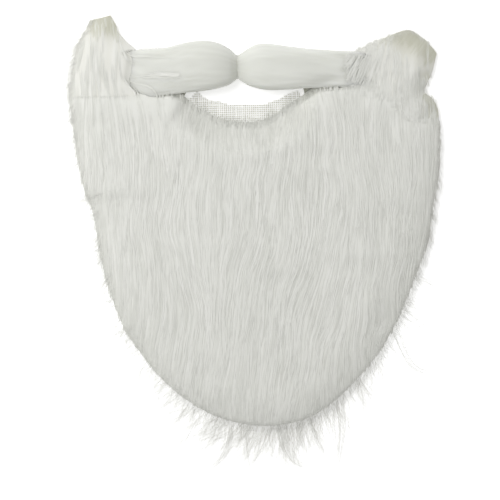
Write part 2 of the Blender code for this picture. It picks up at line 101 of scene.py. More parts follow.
# x, y and the height of the fur's rim there, which is full where it runs on into the ears' fur
TOP_EDGE = [
    (-153, 120, 13.8), (-125, 120, 13.8), (-98, 121.5, 12.5), (-86, 122.8, 10), (-62, 125.2, 6),
    (-52, 118, 1.5), (-32, 107, 0.5), (-10, 103, 0.5), (10, 106, 0.5), (28, 118, 0.9), (42, 126, 3.5),
    (62, 130, 9), (90, 130, 12), (104, 127, 13.8), (112, 117, 13.8), (125, 105, 13.8), (139, 103, 13.8),
    (151, 103, 13.8),
]
# Which of those rows run along the left ear's seam, the bare net and the right ear's seam
LEFT_SEAM = slice(0, 3)
AT_NET = slice(4, 11)
RIGHT_SEAM = slice(-6, None)
MOUTH_EDGE = [
    (-48, 128), (-39, 122), (-28, 119), (-19, 117.5), (-8, 117.5), (9, 118.5), (27, 126), (35, 129.5),
]
LEFT_TAB = [
    (-150, 122), (-149, 140), (-146, 158), (-141, 172), (-136.5, 178), (-136.5, 186.6), (-127, 189),
    (-119.6, 191), (-114.7, 182.5), (-113.8, 177.6), (-106.4, 169.3), (-100, 163), (-70, 156), (-55, 146),
]
RIGHT_TAB = [
    (42, 144), (56, 154), (80, 158), (90, 164), (107, 171), (125.4, 178.7), (139.3, 170.6), (148.4, 160.3),
    (148.4, 156.2), (145, 143), (138.5, 128.2), (145, 122), (148, 112),
]


def linear(hex_colour):
    """sRGB hex to linear RGBA: each channel is undone by the sRGB curve."""
    channels = [int(hex_colour[k:k + 2], 16) / 255 for k in (1, 3, 5)]
    return [c / 12.92 if c <= 0.04045 else ((c + 0.055) / 1.055) ** 2.4 for c in channels] + [1.0]


def add_node(tree, kind, inputs=None, **attributes):
    """Adds a shader node, sets its attributes, and gives each input a value or a link."""
    node = tree.nodes.new("ShaderNode" + kind)
    for name, value in attributes.items():
        setattr(node, name, value)
    for name, value in (inputs or {}).items():
        if isinstance(value, bpy.types.NodeSocket):
            tree.links.new(value, node.inputs[name])
        else:
            node.inputs[name].default_value = value
    return node


def new_material(name, values):
    """A material, its tree and its Principled shader, with values set on the shader's sockets."""
    material = bpy.data.materials.new(name)
    material.use_nodes = True
    shader = material.node_tree.nodes["Principled BSDF"]
    for socket, value in values.items():
        shader.inputs[socket].default_value = value
    return material, material.node_tree, shader


def smooth_curve(points, count):
    """Catmull-Rom curve through the rows, worked out at 20 points a span and read at evenly spaced
    lengths, with all columns kept."""
    rows = np.asarray(points, float)
    padded = np.vstack([2 * rows[0] - rows[1], rows, 2 * rows[-1] - rows[-2]])
    t = np.linspace(0, 1, 20, endpoint=False)[:, None]
    spans = []
    for a, b, c, d in zip(padded[:-3], padded[1:-2], padded[2:-1], padded[3:]):
        cubic = (3 * b - a - 3 * c + d) * t ** 3
        spans.append(0.5 * (2 * b + (c - a) * t + (2 * a - 5 * b + 4 * c - d) * t ** 2 + cubic))
    fine = np.vstack(spans + [rows[-1:]])
    along = np.concatenate([[0], np.cumsum(np.linalg.norm(np.diff(fine[:, :2], axis=0), axis=1))])
    even = np.linspace(0, along[-1], count)
    return np.column_stack([np.interp(even, along, column) for column in fine.T])


def add_piece(name, points, faces, material, smooth=True):
    """A piece from points in table millimetres: scaled to metres and shifted to its solid's place.
    smooth is one choice for the whole piece, or a list with one for each group of faces."""
    points = np.asarray(points, float).reshape(-1, 3) * MM + SHIFT
    shaded = smooth if isinstance(smooth, list) else [smooth] * len(faces)
    shaded = np.concatenate([np.full(len(group), value) for group, value in zip(faces, shaded)])
    sizes = np.concatenate([np.full(len(group), group.shape[1]) for group in faces])
    corners = np.concatenate([group.ravel() for group in faces])
    mesh = bpy.data.meshes.new(name)
    mesh.vertices.add(len(points))
    mesh.vertices.foreach_set("co", points.ravel())
    mesh.loops.add(len(corners))
    mesh.loops.foreach_set("vertex_index", corners.astype(np.int32))
    mesh.polygons.add(len(sizes))
    starts = np.concatenate([[0], np.cumsum(sizes)[:-1]])
    mesh.polygons.foreach_set("loop_start", starts.astype(np.int32))
    mesh.polygons.foreach_set("loop_total", sizes.astype(np.int32))
    mesh.polygons.foreach_set("use_smooth", shaded)
    mesh.update(calc_edges=True)
    mesh.validate()
    mesh.materials.append(material)
    piece = add_object(name, mesh)
    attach(piece, "root")
    return piece


def area_of(outline):
    """Shoelace area of a closed outline, positive where it runs anticlockwise seen from above."""
    x, y = np.asarray(outline, float).T
    return 0.5 * (np.dot(x, np.roll(y, -1)) - np.dot(y, np.roll(x, -1)))


def plate(outline, low, high):
    """A flat plate: the outline at two heights, one face on each side and a wall between them."""
    if area_of(outline) < 0:
        outline = outline[::-1]
    count = len(outline)
    index = np.arange(count)
    following = (index + 1) % count
    points = np.vstack([np.column_stack([outline, np.full(count, z)]) for z in (low, high)])
    walls = np.column_stack([index, following, following + count, index + count])
    return points, [index[None, ::-1], index[None] + count, walls]


def cloth_rim(inset):
    """The shield's edge from the right ear to the left by way of the chin, moved inwards."""
    rim = np.vstack([
        smooth_curve(RIGHT_EDGE, 40), smooth_curve(CHIN_EDGE, 70)[::-1][1:],
        smooth_curve(LEFT_EDGE, 40)[::-1][1:],
    ])
    along = np.gradient(rim, axis=0)
    along /= np.linalg.norm(along, axis=1, keepdims=True)
    return (rim + inset * np.column_stack([along[:, 1], -along[:, 0]]))[1:-1]


# Bleached cotton net: matt, a little yellower than the fur, with slubs that vary its tone
net_thread, tree, shader = new_material("cotton_net_thread", {
    "Roughness": 0.85, "Specular IOR Level": 0.25, "Sheen Weight": 0.2,
})
coordinates = add_node(tree, "TexCoord")
threads = add_node(tree, "Mapping", {
    "Vector": coordinates.outputs["Object"], "Scale": (math.pi / (NET_PITCH * MM),) * 3,
})
split = add_node(tree, "SeparateXYZ", {"Vector": threads.outputs["Vector"]})
warp_wave = add_node(tree, "Math", {0: split.outputs["X"]}, operation="SINE")
weft_wave = add_node(tree, "Math", {0: split.outputs["Y"]}, operation="SINE")
weave = add_node(tree, "Math", {0: warp_wave.outputs[0], 1: weft_wave.outputs[0]}, operation="MULTIPLY")
slub = add_node(tree, "TexNoise", {
    "Vector": coordinates.outputs["Object"], "Scale": SLUBS_A_METRE, "Detail": 3.0,
})
cloth_colour = add_node(tree, "ValToRGB", {"Fac": slub.outputs["Fac"]})
cloth_colour.color_ramp.elements[0].position = 0.3
cloth_colour.color_ramp.elements[0].color = linear("#B9B9AD")
cloth_colour.color_ramp.elements[1].position = 0.7
cloth_colour.color_ramp.elements[1].color = linear("#D2D2C8")
tree.links.new(cloth_colour.outputs["Color"], shader.inputs["Base Color"])
weave_bump = add_node(tree, "Bump", {"Height": weave.outputs[0], "Strength": 0.5, "Distance": 0.3 * MM})
tree.links.new(weave_bump.outputs["Normal"], shader.inputs["Normal"])

bare_net = smooth_curve([(x, y - NET_UNDER_FUR) for x, y, rim in TOP_EDGE[AT_NET]], 60)
sheet_outline = np.vstack([cloth_rim(CLOTH_INSET), LEFT_TAB, [(-52, 137)], bare_net, [(38, 137)], RIGHT_TAB])
points, faces = plate(sheet_outline, 0.0, CLOTH_THICK)
backing_cloth = add_piece("backing_cloth", points, faces, net_thread, smooth=False)
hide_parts("net_backing")


# Mouth net: the same net, bare, between the mouth's cut edge and the first hairs of the fur.
# Warp and weft threads of twisted cotton pass over and under each other in an open square weave,
# and their cut ends stand a little past the edge.
THREAD_RADIUS = 0.26
WEAVE_RISE = 0.2
NET_LEVEL = 0.6
# How far a thread is out of its row, and how far and how slowly it drifts along it
THREAD_SHIFT = 0.07
THREAD_DRIFT = 0.12
DRIFT_LENGTH = 7.0
FRAY = (-0.7, 0.9)


def inside(x, y, outline):
    """Even-odd rule: a point is inside where a ray to its right crosses the outline an odd number
    of times."""
    x0, y0 = np.asarray(outline, float).T
    x1, y1 = np.roll(x0, -1), np.roll(y0, -1)
    odd = np.zeros(x.shape, bool)
    for ax, ay, bx, by in zip(x0, y0, x1, y1):
        if ay != by:
            odd ^= ((ay > y) != (by > y)) & (x < ax + (y - ay) * (bx - ax) / (by - ay))
    return odd


def tubes(paths, radii, sides=3, squash=1.0):
    """Tubes: a regular section is carried along each path, square to it and with a flat side up,
    and both ends are closed. paths is strands by points by xyz, and radii is strands by points."""
    count, steps = paths.shape[:2]
    along = np.gradient(paths, axis=1)
    along /= np.maximum(np.linalg.norm(along, axis=2, keepdims=True), 1e-9)
    across = np.cross(along, (0.0, 0.0, 1.0))
    across /= np.maximum(np.linalg.norm(across, axis=2, keepdims=True), 1e-6)
    upward = np.cross(across, along)
    turn = np.linspace(0, 2 * math.pi, sides, endpoint=False) - math.pi / 2
    if sides % 2 == 0:
        turn = turn + math.pi / sides
    ring = (np.cos(turn)[:, None] * across[:, :, None] + squash * np.sin(turn)[:, None] * upward[:, :, None])
    points = paths[:, :, None] + radii[:, :, None, None] * ring
    index = np.arange(count * steps * sides).reshape(count, steps, sides)
    turned = np.roll(index, -1, axis=2)
    walls = np.stack([index[:, :-1], index[:, 1:], turned[:, 1:], turned[:, :-1]], -1).reshape(-1, 4)
    return points.reshape(-1, 3), [walls, index[:, 0], index[:, -1, ::-1]]


def join(parts):
    """Joins meshes: the points are stacked, and each face's numbers move on by the points before it."""
    points, faces, done = [], [], 0
    for part_points, part_faces in parts:
        points.append(part_points)
        faces += [group + done for group in part_faces]
        done += len(part_points)
    return np.vstack(points), faces


def weave_net(outline, pitch, turned, rng):
    """Open plain weave inside an outline: each thread is a tube that rises and falls by a sine of
    half the pitch, the warp against the weft. The grid is turned by an angle."""
    outline = np.asarray(outline, float)
    centre = outline.mean(0)
    turn = np.array([[math.cos(turned), math.sin(turned)], [-math.sin(turned), math.cos(turned)]])
    local = (outline - centre) @ turn.T
    reach = int(np.abs(local).max() / pitch) + 1
    parts = []
    for axis in (0, 1):
        for number in range(-reach, reach + 1):
            offset = number * pitch + rng.normal(0, THREAD_SHIFT)
            run = np.arange(-reach * pitch, reach * pitch, pitch / 3)
            drift = THREAD_DRIFT * np.sin(run / DRIFT_LENGTH + rng.uniform(0, 6.28))
            line = np.column_stack([run, offset + drift] if axis == 0 else [offset + drift, run])
            place = line @ turn + centre
            kept = inside(place[:, 0], place[:, 1], outline)
            edges = np.flatnonzero(np.diff(np.concatenate([[0], kept.astype(int), [0]])))
            for start, end in zip(edges[::2], edges[1::2]):
                if end - start < 4:
                    continue
                side = 1 if (number + axis) % 2 else -1
                height = NET_LEVEL + side * WEAVE_RISE * np.cos(run[start:end] / pitch * math.pi)
                path = np.column_stack([place[start:end], height])[None]
                radius = THREAD_RADIUS * rng.uniform(0.75, 1.15) * np.ones((1, end - start))
                parts.append(tubes(path, radius, sides=4))
    return join(parts)


rng = np.random.default_rng(5)
mouth_line = smooth_curve(MOUTH_EDGE, 60)
frayed = mouth_line + np.column_stack([np.zeros(60), rng.uniform(FRAY[0], FRAY[1], 60)])
under_fur = smooth_curve([(x, y - NET_UNDER_FUR - 3) for x, y, rim in TOP_EDGE[AT_NET]], 60)[::-1]
net_points, net_faces = weave_net(np.vstack([frayed, under_fur]), NET_PITCH, 0.02, rng)
mouth_net = add_piece("mouth_net", net_points, net_faces, net_thread)


# Moustache: one roll of combed fibre, padded full, pinched at its middle and sewn to the cloth at
# both ends. Its hair runs along it and gathers into the pinch. Between its ends it passes free
# over the mouth opening.
CLOTH_GAP = 0.3
PILE_BASE = CLOTH_THICK + CLOTH_GAP
# x, top, bottom, height and base of each section
MOUSTACHE = [
    (-112, 158, 141, 5, 1.3), (-103, 161.5, 132, 8, 1.3), (-90, 162.4, 123, 13, 1.3),
    (-74, 163.6, 124.5, 18, 1.3), (-59, 167.3, 126.6, 22, 1.3), (-43, 169.3, 128.4, 24.5, 0.6),
    (-31, 167.7, 130.4, 24, 0.3), (-22, 163.2, 133, 20.5, 0.3), (-17.5, 159.2, 136.2, 16, 0.3),
    (-14.8, 157.2, 138.4, 13.5, 0.3), (-12, 159, 136.6, 16, 0.3), (-6, 163, 132.6, 21, 0.3),
    (2, 166.3, 130, 24.5, 0.3), (12, 166.5, 128.6, 26, 0.3),
    (27, 164.4, 129.1, 25.5, 0.4), (41, 162.8, 130.4, 23, 1.3), (61, 161.6, 130.9, 19, 1.3),
    (80, 160.6, 131, 15, 1.3), (94, 158, 131.2, 10, 1.3), (107, 152, 134, 5, 1.3),
]
# x, y, length, width, depth and angle in degrees of each dent
ROLL_DENTS = [(56, 134, 26, 9, 4.0, 12), (73, 157, 18, 7, 2.6, -8), (-62, 130, 30, 8, 2.2, 5)]
ROLL_PRESSED = 0.1
ROLL_FULLNESS = 0.7
ROLL_STATIONS = 230
ROLL_SIDES = 64
ROLL_RADIUS = 12.0
ROLL_TWIST = 0.1
TWIST_LENGTH = 17.0
STREAK_SWELL = 0.3
PINCH_X = -14.8
PINCH_REACH = 4.5
PLEAT_SWELL = 0.9
roll_table = smooth_curve([(x, 0, top, bottom, high, base) for x, top, bottom, high, base in MOUSTACHE], 500)


def roll_section(x):
    """Top, bottom, height and base of the roll at each x, read from the curve through its sections."""
    return [np.interp(x, roll_table[:, 0], roll_table[:, k]) for k in (2, 3, 4, 5)]


def roll_top(x, y):
    """Height of the roll's upper surface over any point, or zero beside it."""
    top, bottom, high, base = roll_section(x)
    across = (y - (top + bottom) / 2) / ((top - bottom) / 2)
    over = (np.abs(across) < 1) & (x > MOUSTACHE[0][0]) & (x < MOUSTACHE[-1][0])
    crown = np.clip(1 - np.abs(across) ** (2 / ROLL_FULLNESS), 0, 1) ** (ROLL_FULLNESS / 2)
    return np.where(over, base + high / 2 * (1 + crown), 0.0)


def ease(t):
    """Smooth step: from 0 to 1 with no slope at either end."""
    t = np.clip(t, 0, 1)
    return t * t * (3 - 2 * t)


LATTICE = 256
LATTICE_MIDDLE = (60.3, 90.7)


def soft_noise(x, y, cell, seed):
    """Value noise from -1 to 1: random values on a square lattice, blended by a smooth step."""
    lattice = np.random.default_rng(seed).uniform(-1, 1, (LATTICE, LATTICE))
    gx, gy = np.asarray(x) / cell + LATTICE_MIDDLE[0], np.asarray(y) / cell + LATTICE_MIDDLE[1]
    i, j = np.floor(gx).astype(int), np.floor(gy).astype(int)
    fx, fy = ease(gx - i), ease(gy - j)
    i, j, i1, j1 = i % LATTICE, j % LATTICE, (i + 1) % LATTICE, (j + 1) % LATTICE
    near = lattice[i, j] * (1 - fx) + lattice[i1, j] * fx
    far = lattice[i, j1] * (1 - fx) + lattice[i1, j1] * fx
    return near * (1 - fy) + far * fy


def dents(x, y, table):
    """Long oval dents: each a Gaussian of its length and width, turned by its angle."""
    depth = np.zeros_like(x)
    for cx, cy, length, width, deep, degrees in table:
        angle = math.radians(degrees)
        along = (x - cx) * math.cos(angle) + (y - cy) * math.sin(angle)
        across = (y - cy) * math.cos(angle) - (x - cx) * math.sin(angle)
        depth += deep * np.exp(-(2 * along / length) ** 2 - (2 * across / width) ** 2)
    return depth


def fibre_material(name, dark, light, roughness, grain, relief=0.3, depth=0.0):
    """Synthetic fibre: a colour between two tones by the piece's tone, fine bump along the grain,
    and a soft sheen. Light goes in by up to the depth, in metres, where the fibre is packed."""
    material, tree, shader = new_material(name, {
        "Roughness": roughness, "Specular IOR Level": 0.3, "Sheen Weight": 0.15, "Sheen Roughness": 0.5,
    })
    tone = add_node(tree, "Attribute", attribute_name="tone")
    ramp = add_node(tree, "ValToRGB", {"Fac": tone.outputs["Fac"]})
    ramp.color_ramp.elements[0].color = linear(dark)
    ramp.color_ramp.elements[1].color = linear(light)
    tree.links.new(ramp.outputs["Color"], shader.inputs["Base Color"])
    coordinates = add_node(tree, "TexCoord")
    swayed = add_node(tree, "TexNoise", {"Vector": coordinates.outputs["Object"], "Scale": 45.0})
    bent = add_node(tree, "VectorMath", {0: swayed.outputs["Color"], 1: (0.012, 0.012, 0.012)},
                    operation="MULTIPLY")
    moved = add_node(tree, "VectorMath", {0: coordinates.outputs["Object"], 1: bent.outputs[0]},
                     operation="ADD")
    combed = add_node(tree, "Mapping", {"Vector": moved.outputs[0], "Scale": grain})
    hairs = add_node(tree, "TexNoise", {
        "Vector": combed.outputs["Vector"], "Scale": 1 / HAIR_BUNDLE, "Detail": 2.0,
    })
    bump = add_node(tree, "Bump", {
        "Height": hairs.outputs["Fac"], "Strength": relief, "Distance": 0.5 * MM,
    })
    tree.links.new(bump.outputs["Normal"], shader.inputs["Normal"])
    if depth:
        shader.inputs["Subsurface Weight"].default_value = 0.8
        shader.inputs["Subsurface Radius"].default_value = (1.0, 1.0, 0.95)
        shader.inputs["Subsurface Scale"].default_value = depth
    return material


def paint(piece, values):
    """Gives each point its tone, from 0 for the dark colour to 1 for the light one."""
    tones = np.full(len(piece.data.vertices), 0.5)
    values = np.clip(np.asarray(values, float), 0, 1).ravel()
    tones[:len(values)] = values
    attribute = piece.data.attributes.new("tone", "FLOAT", "POINT")
    attribute.data.foreach_set("value", tones.astype(np.float32))


# One fibre is 0.05 mm thick, too fine to show, so the bump draws bundles about 0.7 mm wide
HAIR_BUNDLE = 0.7 * MM
ALONG_ROLL = (0.06, 1.0, 1.0)
# Combed synthetic fibre, packed close: light goes into it, so its shades are soft and it looks smooth
combed_fibre = fibre_material("combed_white_fibre", "#D2D3CC", "#E3E4DE", 0.6, ALONG_ROLL, 0.2, depth=9 * MM)
along_roll = np.linspace(MOUSTACHE[0][0], MOUSTACHE[-1][0], ROLL_STATIONS)
near_pinch = PINCH_X + np.linspace(-9, 9, 31)
x = np.sort(np.concatenate([along_roll, near_pinch]))[:, None]
top, bottom, high, base = roll_section(x)
angle = np.linspace(0, 2 * math.pi, ROLL_SIDES, endpoint=False)[None, :]
lift, reach = [np.sign(wave) * np.abs(wave) ** ROLL_FULLNESS for wave in (np.sin(angle), np.cos(angle))]
lift = np.where(lift < 0, lift * (1 - ROLL_PRESSED) - ROLL_PRESSED * lift ** 2, lift)
twist = angle + ROLL_TWIST * np.sin(x / TWIST_LENGTH)
broad_streaks = soft_noise(twist * 9.0, x * 0.035, 1.0, 51)
fine_streaks = soft_noise(twist * 17.0, x * 0.05, 1.0, 52)
streaks = 0.6 * broad_streaks + 0.4 * fine_streaks
fold = np.exp(-np.abs(x - PINCH_X) / PINCH_REACH)
pleats = soft_noise(angle * 7.0 + 0.5, np.full_like(angle, 3.0), 1.0, 53)
swell = 1 + (STREAK_SWELL * streaks * (1 - fold) + PLEAT_SWELL * fold * pleats) / ROLL_RADIUS
y = (top + bottom) / 2 + (top - bottom) / 2 * reach * swell
z = base + high / 2 * (1 + lift * np.where(lift > 0, swell, 1))
x = np.broadcast_to(x, y.shape)
z = z - dents(x, y, ROLL_DENTS) * np.clip(lift, 0, 1)
rings = np.arange(y.size).reshape(y.shape)
turned = np.roll(rings, -1, axis=1)
walls = np.stack([rings[:-1], turned[:-1], turned[1:], rings[1:]], -1).reshape(-1, 4)
faces = [walls, rings[:1, ::-1], rings[-1:]]
moustache = add_piece("moustache_roll", np.dstack([x, y, z]), faces, combed_fibre)
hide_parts("moustache")
# Tone follows the combed streaks. It is darker round the pinch as painted shade in its crease, and lighter
# from the pinch towards the right end.
paint(moustache, 0.5 + 0.35 * streaks - 0.35 * fold + 0.3 * ease((x - PINCH_X) / 40))


# Fur ground: the dense under-hair of the beard and of the two ear tabs, in the solids' own forms.
# It is synthetic fur knitted into the net, about 13 mm deep on the beard and thinner on the tabs,
# and at the tabs' cut ends it is so sparse that the yellower net shows through. The tone there is darker
# for that olive cloth and partly as painted shade on the ends' slopes.
PILE_HEIGHT = 13.5
RIM_HEIGHT = 6.5
RIM_WIDTH = 28.0
TOP_RIM_WIDTH = 15.0
NET_RAMP = 28.0
LOCK_LENGTH = 56.0
LOCK_WIDTH = 17.0
LOCK_RISE = 0.6
CRIMP_RISE = 0.4
LOCK_ROW_PITCH = 31.0
LOCK_PITCH = 13.6
LOCK_SCATTER = 5.0
LOCK_ROOT_SCATTER = 11.0
LOCK_LEAN = 0.2
LOCK_SEED = 11
EAR_HEIGHT = 12.0
EAR_RIM = 3.6
EAR_RIM_WIDTH = 16.0
EAR_OVER_ROLL = 0.5
EAR_SEAM_OVERLAP = 2.5
EAR_BLEND = 14.0
BARE_THINNING = 0.6
# x, y, length, width, depth and angle in degrees of the dark dents in the photograph, and a
# negative depth is a raised lock
CREASES = [
    (-100, 37, 38, 16, 1.4, -6), (-114, 46, 28, 14, -1.1, -20), (-100, -3, 22, 12, 0.9, 0),
    (-100, 97, 16, 14, 1.0, 80), (-128, 104, 14, 12, 0.9, 60), (-34, 20, 26, 16, 0.7, 20),
    (92, 97, 16, 14, 1.0, 75), (69, 71, 18, 14, 0.9, 80), (112, 42, 24, 13, -1.1, 55),
    (131, 15, 16, 11, -1.0, 30), (128, 23, 14, 10, 1.1, 20), (123, 87, 32, 14, -0.9, 85),
    (105, -63, 24, 13, 1.3, 30), (95, -43, 24, 14, -1.0, 70), (-5, -100, 38, 16, 0.7, 4),
    (30, -20, 40, 16, 0.8, 82), (-60, -55, 44, 16, 0.8, 96), (12, 60, 44, 16, 0.7, 88),
    (110, 115, 24, 7, 1.7, -56), (120, 105, 16, 7, 1.5, -28), (132, 103, 22, 7, 1.5, 3),
    (-108, 137, 10, 8, 1.6, 0), (100, 122, 20, 9, -1.0, -50),
]
EAR_EDGES = {
    "ear_fur_left": {
        "top": [(-136.6, 186.4), (-131, 187.8), (-125, 189.2), (-119.6, 190.8)],
        "left": [(-136.6, 186.4), (-140, 178), (-146, 168), (-150, 152), (-152.5, 136), (-153, 120)],
        "right": [(-119.6, 190.8), (-115, 182.5), (-113.5, 177.5), (-106.4, 169.3), (-99, 163), (-94, 154),
                  (-96, 143), (-98, 134), (-98, 121.5)],
        "bottom": [row[:2] for row in TOP_EDGE[LEFT_SEAM]],
    },
    "ear_fur_right": {
        "top": [(79, 159.5), (91, 165.5), (105, 171.5), (125.4, 178.7), (139.6, 170.8)],
        "left": [(79, 159.5), (76, 148), (80, 137), (90, 130)],
        "right": [(139.6, 170.8), (148.6, 160.5), (148.4, 156), (145.2, 143), (138.8, 128.4), (145.2, 122.5),
                  (150, 114), (151, 103)],
        "bottom": [row[:2] for row in TOP_EDGE[RIGHT_SEAM]],
    },
}
# Centre, reach and depth of the bare, yellower cloth at the cut ends. In the tabs' tone the same fades
# darken the ends, partly for the olive cloth and partly as painted shade.
BARE_ENDS = {
    "ear_fur_left": [(-121, 187, 13.0, 0.95), (-133, 186, 9.0, 0.75)],
    "ear_fur_right": [
        (128, 174, 18.0, 0.95), (144, 160, 12.0, 0.85), (142, 140, 7.0, 0.6), (149, 112, 9.0, 0.7),
    ],
}


def patch(top, bottom, left, right):
    """Coons patch: two ruled sheets between facing edges, added, less the sheet of the corners."""
    u = np.linspace(0, 1, len(top))[None, :, None]
    v = np.linspace(0, 1, len(left))[:, None, None]
    ruled = (1 - v) * top[None] + v * bottom[None] + (1 - u) * left[:, None] + u * right[:, None]
    upper_corners = (1 - v) * ((1 - u) * top[0] + u * top[-1])
    lower_corners = v * ((1 - u) * bottom[0] + u * bottom[-1])
    return ruled - upper_corners - lower_corners


def nearest_on(x, y, line):
    """Distance in plan to the nearest point of a polyline, and how far along its rows that is."""
    start, end = line[:-1, :2], line[1:, :2]
    span = end - start
    distance = np.full(x.shape, 1e9)
    place = np.zeros(x.shape)
    for k, (origin, step) in enumerate(zip(start, span)):
        dx, dy = x - origin[0], y - origin[1]
        t = np.clip((dx * step[0] + dy * step[1]) / max(step @ step, 1e-9), 0, 1)
        gap = np.hypot(dx - t * step[0], dy - t * step[1])
        closer = gap < distance
        distance = np.where(closer, gap, distance)
        place = np.where(closer, k + t, place)
    return distance, place


def dome(distance, width, rim, full):
    """Half a parabola: the height climbs from the rim and levels out at its full value."""
    return rim + (full - rim) * (1 - (1 - np.clip(distance / width, 0, 1)) ** 2)


def lock_relief(x, y, rng, box):
    """Rows of overlapping locks: each swells from its root, is round across and ends in a step,
    and the highest lock wins. box is the low and high corner of the fur that they grow on."""
    relief = np.zeros_like(x)
    (low_x, low_y), (high_x, high_y) = box
    for row_y in np.arange(high_y + LOCK_LENGTH / 2, low_y, -LOCK_ROW_PITCH):
        centres = np.arange(low_x, high_x, LOCK_PITCH)
        for centre in centres + rng.uniform(-LOCK_SCATTER, LOCK_SCATTER, len(centres)):
            lean = rng.uniform(-LOCK_LEAN, LOCK_LEAN)
            rise = LOCK_RISE * rng.uniform(0.5, 1.0)
            root_y = row_y + rng.uniform(-LOCK_ROOT_SCATTER, LOCK_ROOT_SCATTER)
            along = (root_y - y) / LOCK_LENGTH
            half_width = LOCK_WIDTH * (0.62 - 0.3 * along)
            across = (x - centre - lean * (root_y - y)) / half_width
            swell = np.sqrt(np.clip(along, 0, 1)) * np.clip((1 - along) / 0.2, 0, 1)
            relief = np.maximum(relief, rise * swell * np.clip(1 - across ** 2, 0, 1))
    return relief


def hair_ridges(x, y, width, seed):
    """Wavy streaks: noise narrow across and long down the fur, on an x that is itself swayed."""
    sway = 5.0 * soft_noise(x, y * 0.8, 24.0, seed) + 1.6 * soft_noise(x, y, 9.0, seed + 1)
    return soft_noise(x + sway, y * 0.11, width, seed + 2)


top_edge = smooth_curve(TOP_EDGE, 150)
outer_rim = np.vstack([smooth_curve(LEFT_EDGE, 45), smooth_curve(CHIN_EDGE, 80)[1:],
                       smooth_curve(RIGHT_EDGE, 45)[::-1][1:]])
fur_outline = np.vstack([outer_rim, top_edge[::-1, :2]])
FUR_BOX = ((-153.0, -147.0), (151.0, 129.74))


def full_height(x, y):
    """Height of the fur away from its rims: the pile's, with its locks and the crimp that
    neighbouring hairs share, and less its dents."""
    locks = lock_relief(x, y, np.random.default_rng(LOCK_SEED), FUR_BOX)
    crimp = CRIMP_RISE * soft_noise(x * 0.42, y, 9.0, 63)
    return PILE_HEIGHT + locks + crimp - dents(x, y, CREASES)


def fur_height(x, y):
    """Top of the beard's fur: its full height under a dome from each rim, and at the bare net,
    where the rim is lowest, under a long soft ramp."""
    outer = nearest_on(x, y, outer_rim)[0]
    inner, place = nearest_on(x, y, top_edge)
    rim = np.interp(place, np.arange(len(top_edge)), top_edge[:, 2])
    full = full_height(x, y)
    at_net = ease((4 - rim) / 3)
    ramp = rim + (full - rim) * ease(inner / NET_RAMP)
    upper = dome(inner, TOP_RIM_WIDTH, rim, full) * (1 - at_net) + ramp * at_net
    return PILE_BASE + np.minimum(dome(outer, RIM_WIDTH, RIM_HEIGHT, full), upper)


def bareness(x, y, ends):
    """How bare the cloth is: the deepest of a few Gaussian fades round their centres."""
    fades = [deep * np.exp(-((x - cx) ** 2 + (y - cy) ** 2) / reach ** 2) for cx, cy, reach, deep in ends]
    return np.max(fades, 0)


def ear_height(x, y, name):
    """Top of an ear's fur: a dome from its three free edges, thin where the cloth is bare, at the
    beard's own height at the seam, and just over the roll where they cross."""
    distance = nearest_on(x, y, ear_rims[name])[0]
    waves = 1.2 * soft_noise(x, y * 0.6, 11.0, 61) + 0.5 * soft_noise(x, y * 0.5, 5.0, 62)
    own = ease(nearest_on(x, y, top_edge)[0] / EAR_BLEND)
    width = RIM_WIDTH + (EAR_RIM_WIDTH - RIM_WIDTH) * own
    rim_height = RIM_HEIGHT + (EAR_RIM - RIM_HEIGHT) * own
    full = full_height(x, y) * (1 - own) + (EAR_HEIGHT + waves - dents(x, y, CREASES)) * own
    thin = 1 - BARE_THINNING * bareness(x, y, BARE_ENDS[name])
    domed = PILE_BASE + dome(distance, width, rim_height, full) * thin
    over_roll = roll_top(x, y) + EAR_OVER_ROLL * np.clip(distance / 6, 0, 1)
    return np.maximum(domed, over_roll)


# A map of the dressed surface, one height a millimetre, for the ground and for the hair that is
# laid on it. Past an outline it falls to the surface that the beard lies on.
MAP_HALF = 205
SKIRT_WIDTH = 6.0
FLOOR_HAIR = 0.35
NET_TOP = 1.2
MOUTH_MIDDLE = -4.0
MOUTH_HALF = 52.0
SEAM_CLOSED = 5
MAP_SMOOTHING = 7
EAR_POINTS = 80
map_axis = np.arange(-MAP_HALF, MAP_HALF + 1.0)
map_x, map_y = np.meshgrid(map_axis, map_axis)


def read_map(grid, x, y):
    """Bilinear reading: the four values round a point, weighted by how near it is to each."""
    gx = np.clip(x + MAP_HALF, 0, 2 * MAP_HALF - 0.001)
    gy = np.clip(y + MAP_HALF, 0, 2 * MAP_HALF - 0.001)
    i, j = gx.astype(int), gy.astype(int)
    fx, fy = gx - i, gy - j
    lower = grid[j, i] * (1 - fx) + grid[j, i + 1] * fx
    upper = grid[j + 1, i] * (1 - fx) + grid[j + 1, i + 1] * fx
    return lower * (1 - fy) + upper * fy


def signed_depth(outline):
    """A map of how deep inside an outline each point lies, negative outside it."""
    closed_line = np.vstack([outline, outline[:1]])
    return nearest_on(map_x, map_y, closed_line)[0] * np.where(inside(map_x, map_y, outline), 1, -1)


def skirt(depth, rim):
    """Past the rim the surface falls to the floor by the square of what is left of its width."""
    return FLOOR_HAIR + rim * np.clip(1 + depth / SKIRT_WIDTH, 0, 1) ** 2


def neighbours(grid):
    """The grid moved by one cell in each direction."""
    return [np.roll(grid, shift, axis) for axis in (0, 1) for shift in (-1, 1)]


def widened(grid, reach):
    """The highest value within a reach, by steps of one cell in each direction."""
    for step in range(reach):
        grid = np.maximum.reduce([grid] + neighbours(grid))
    return grid


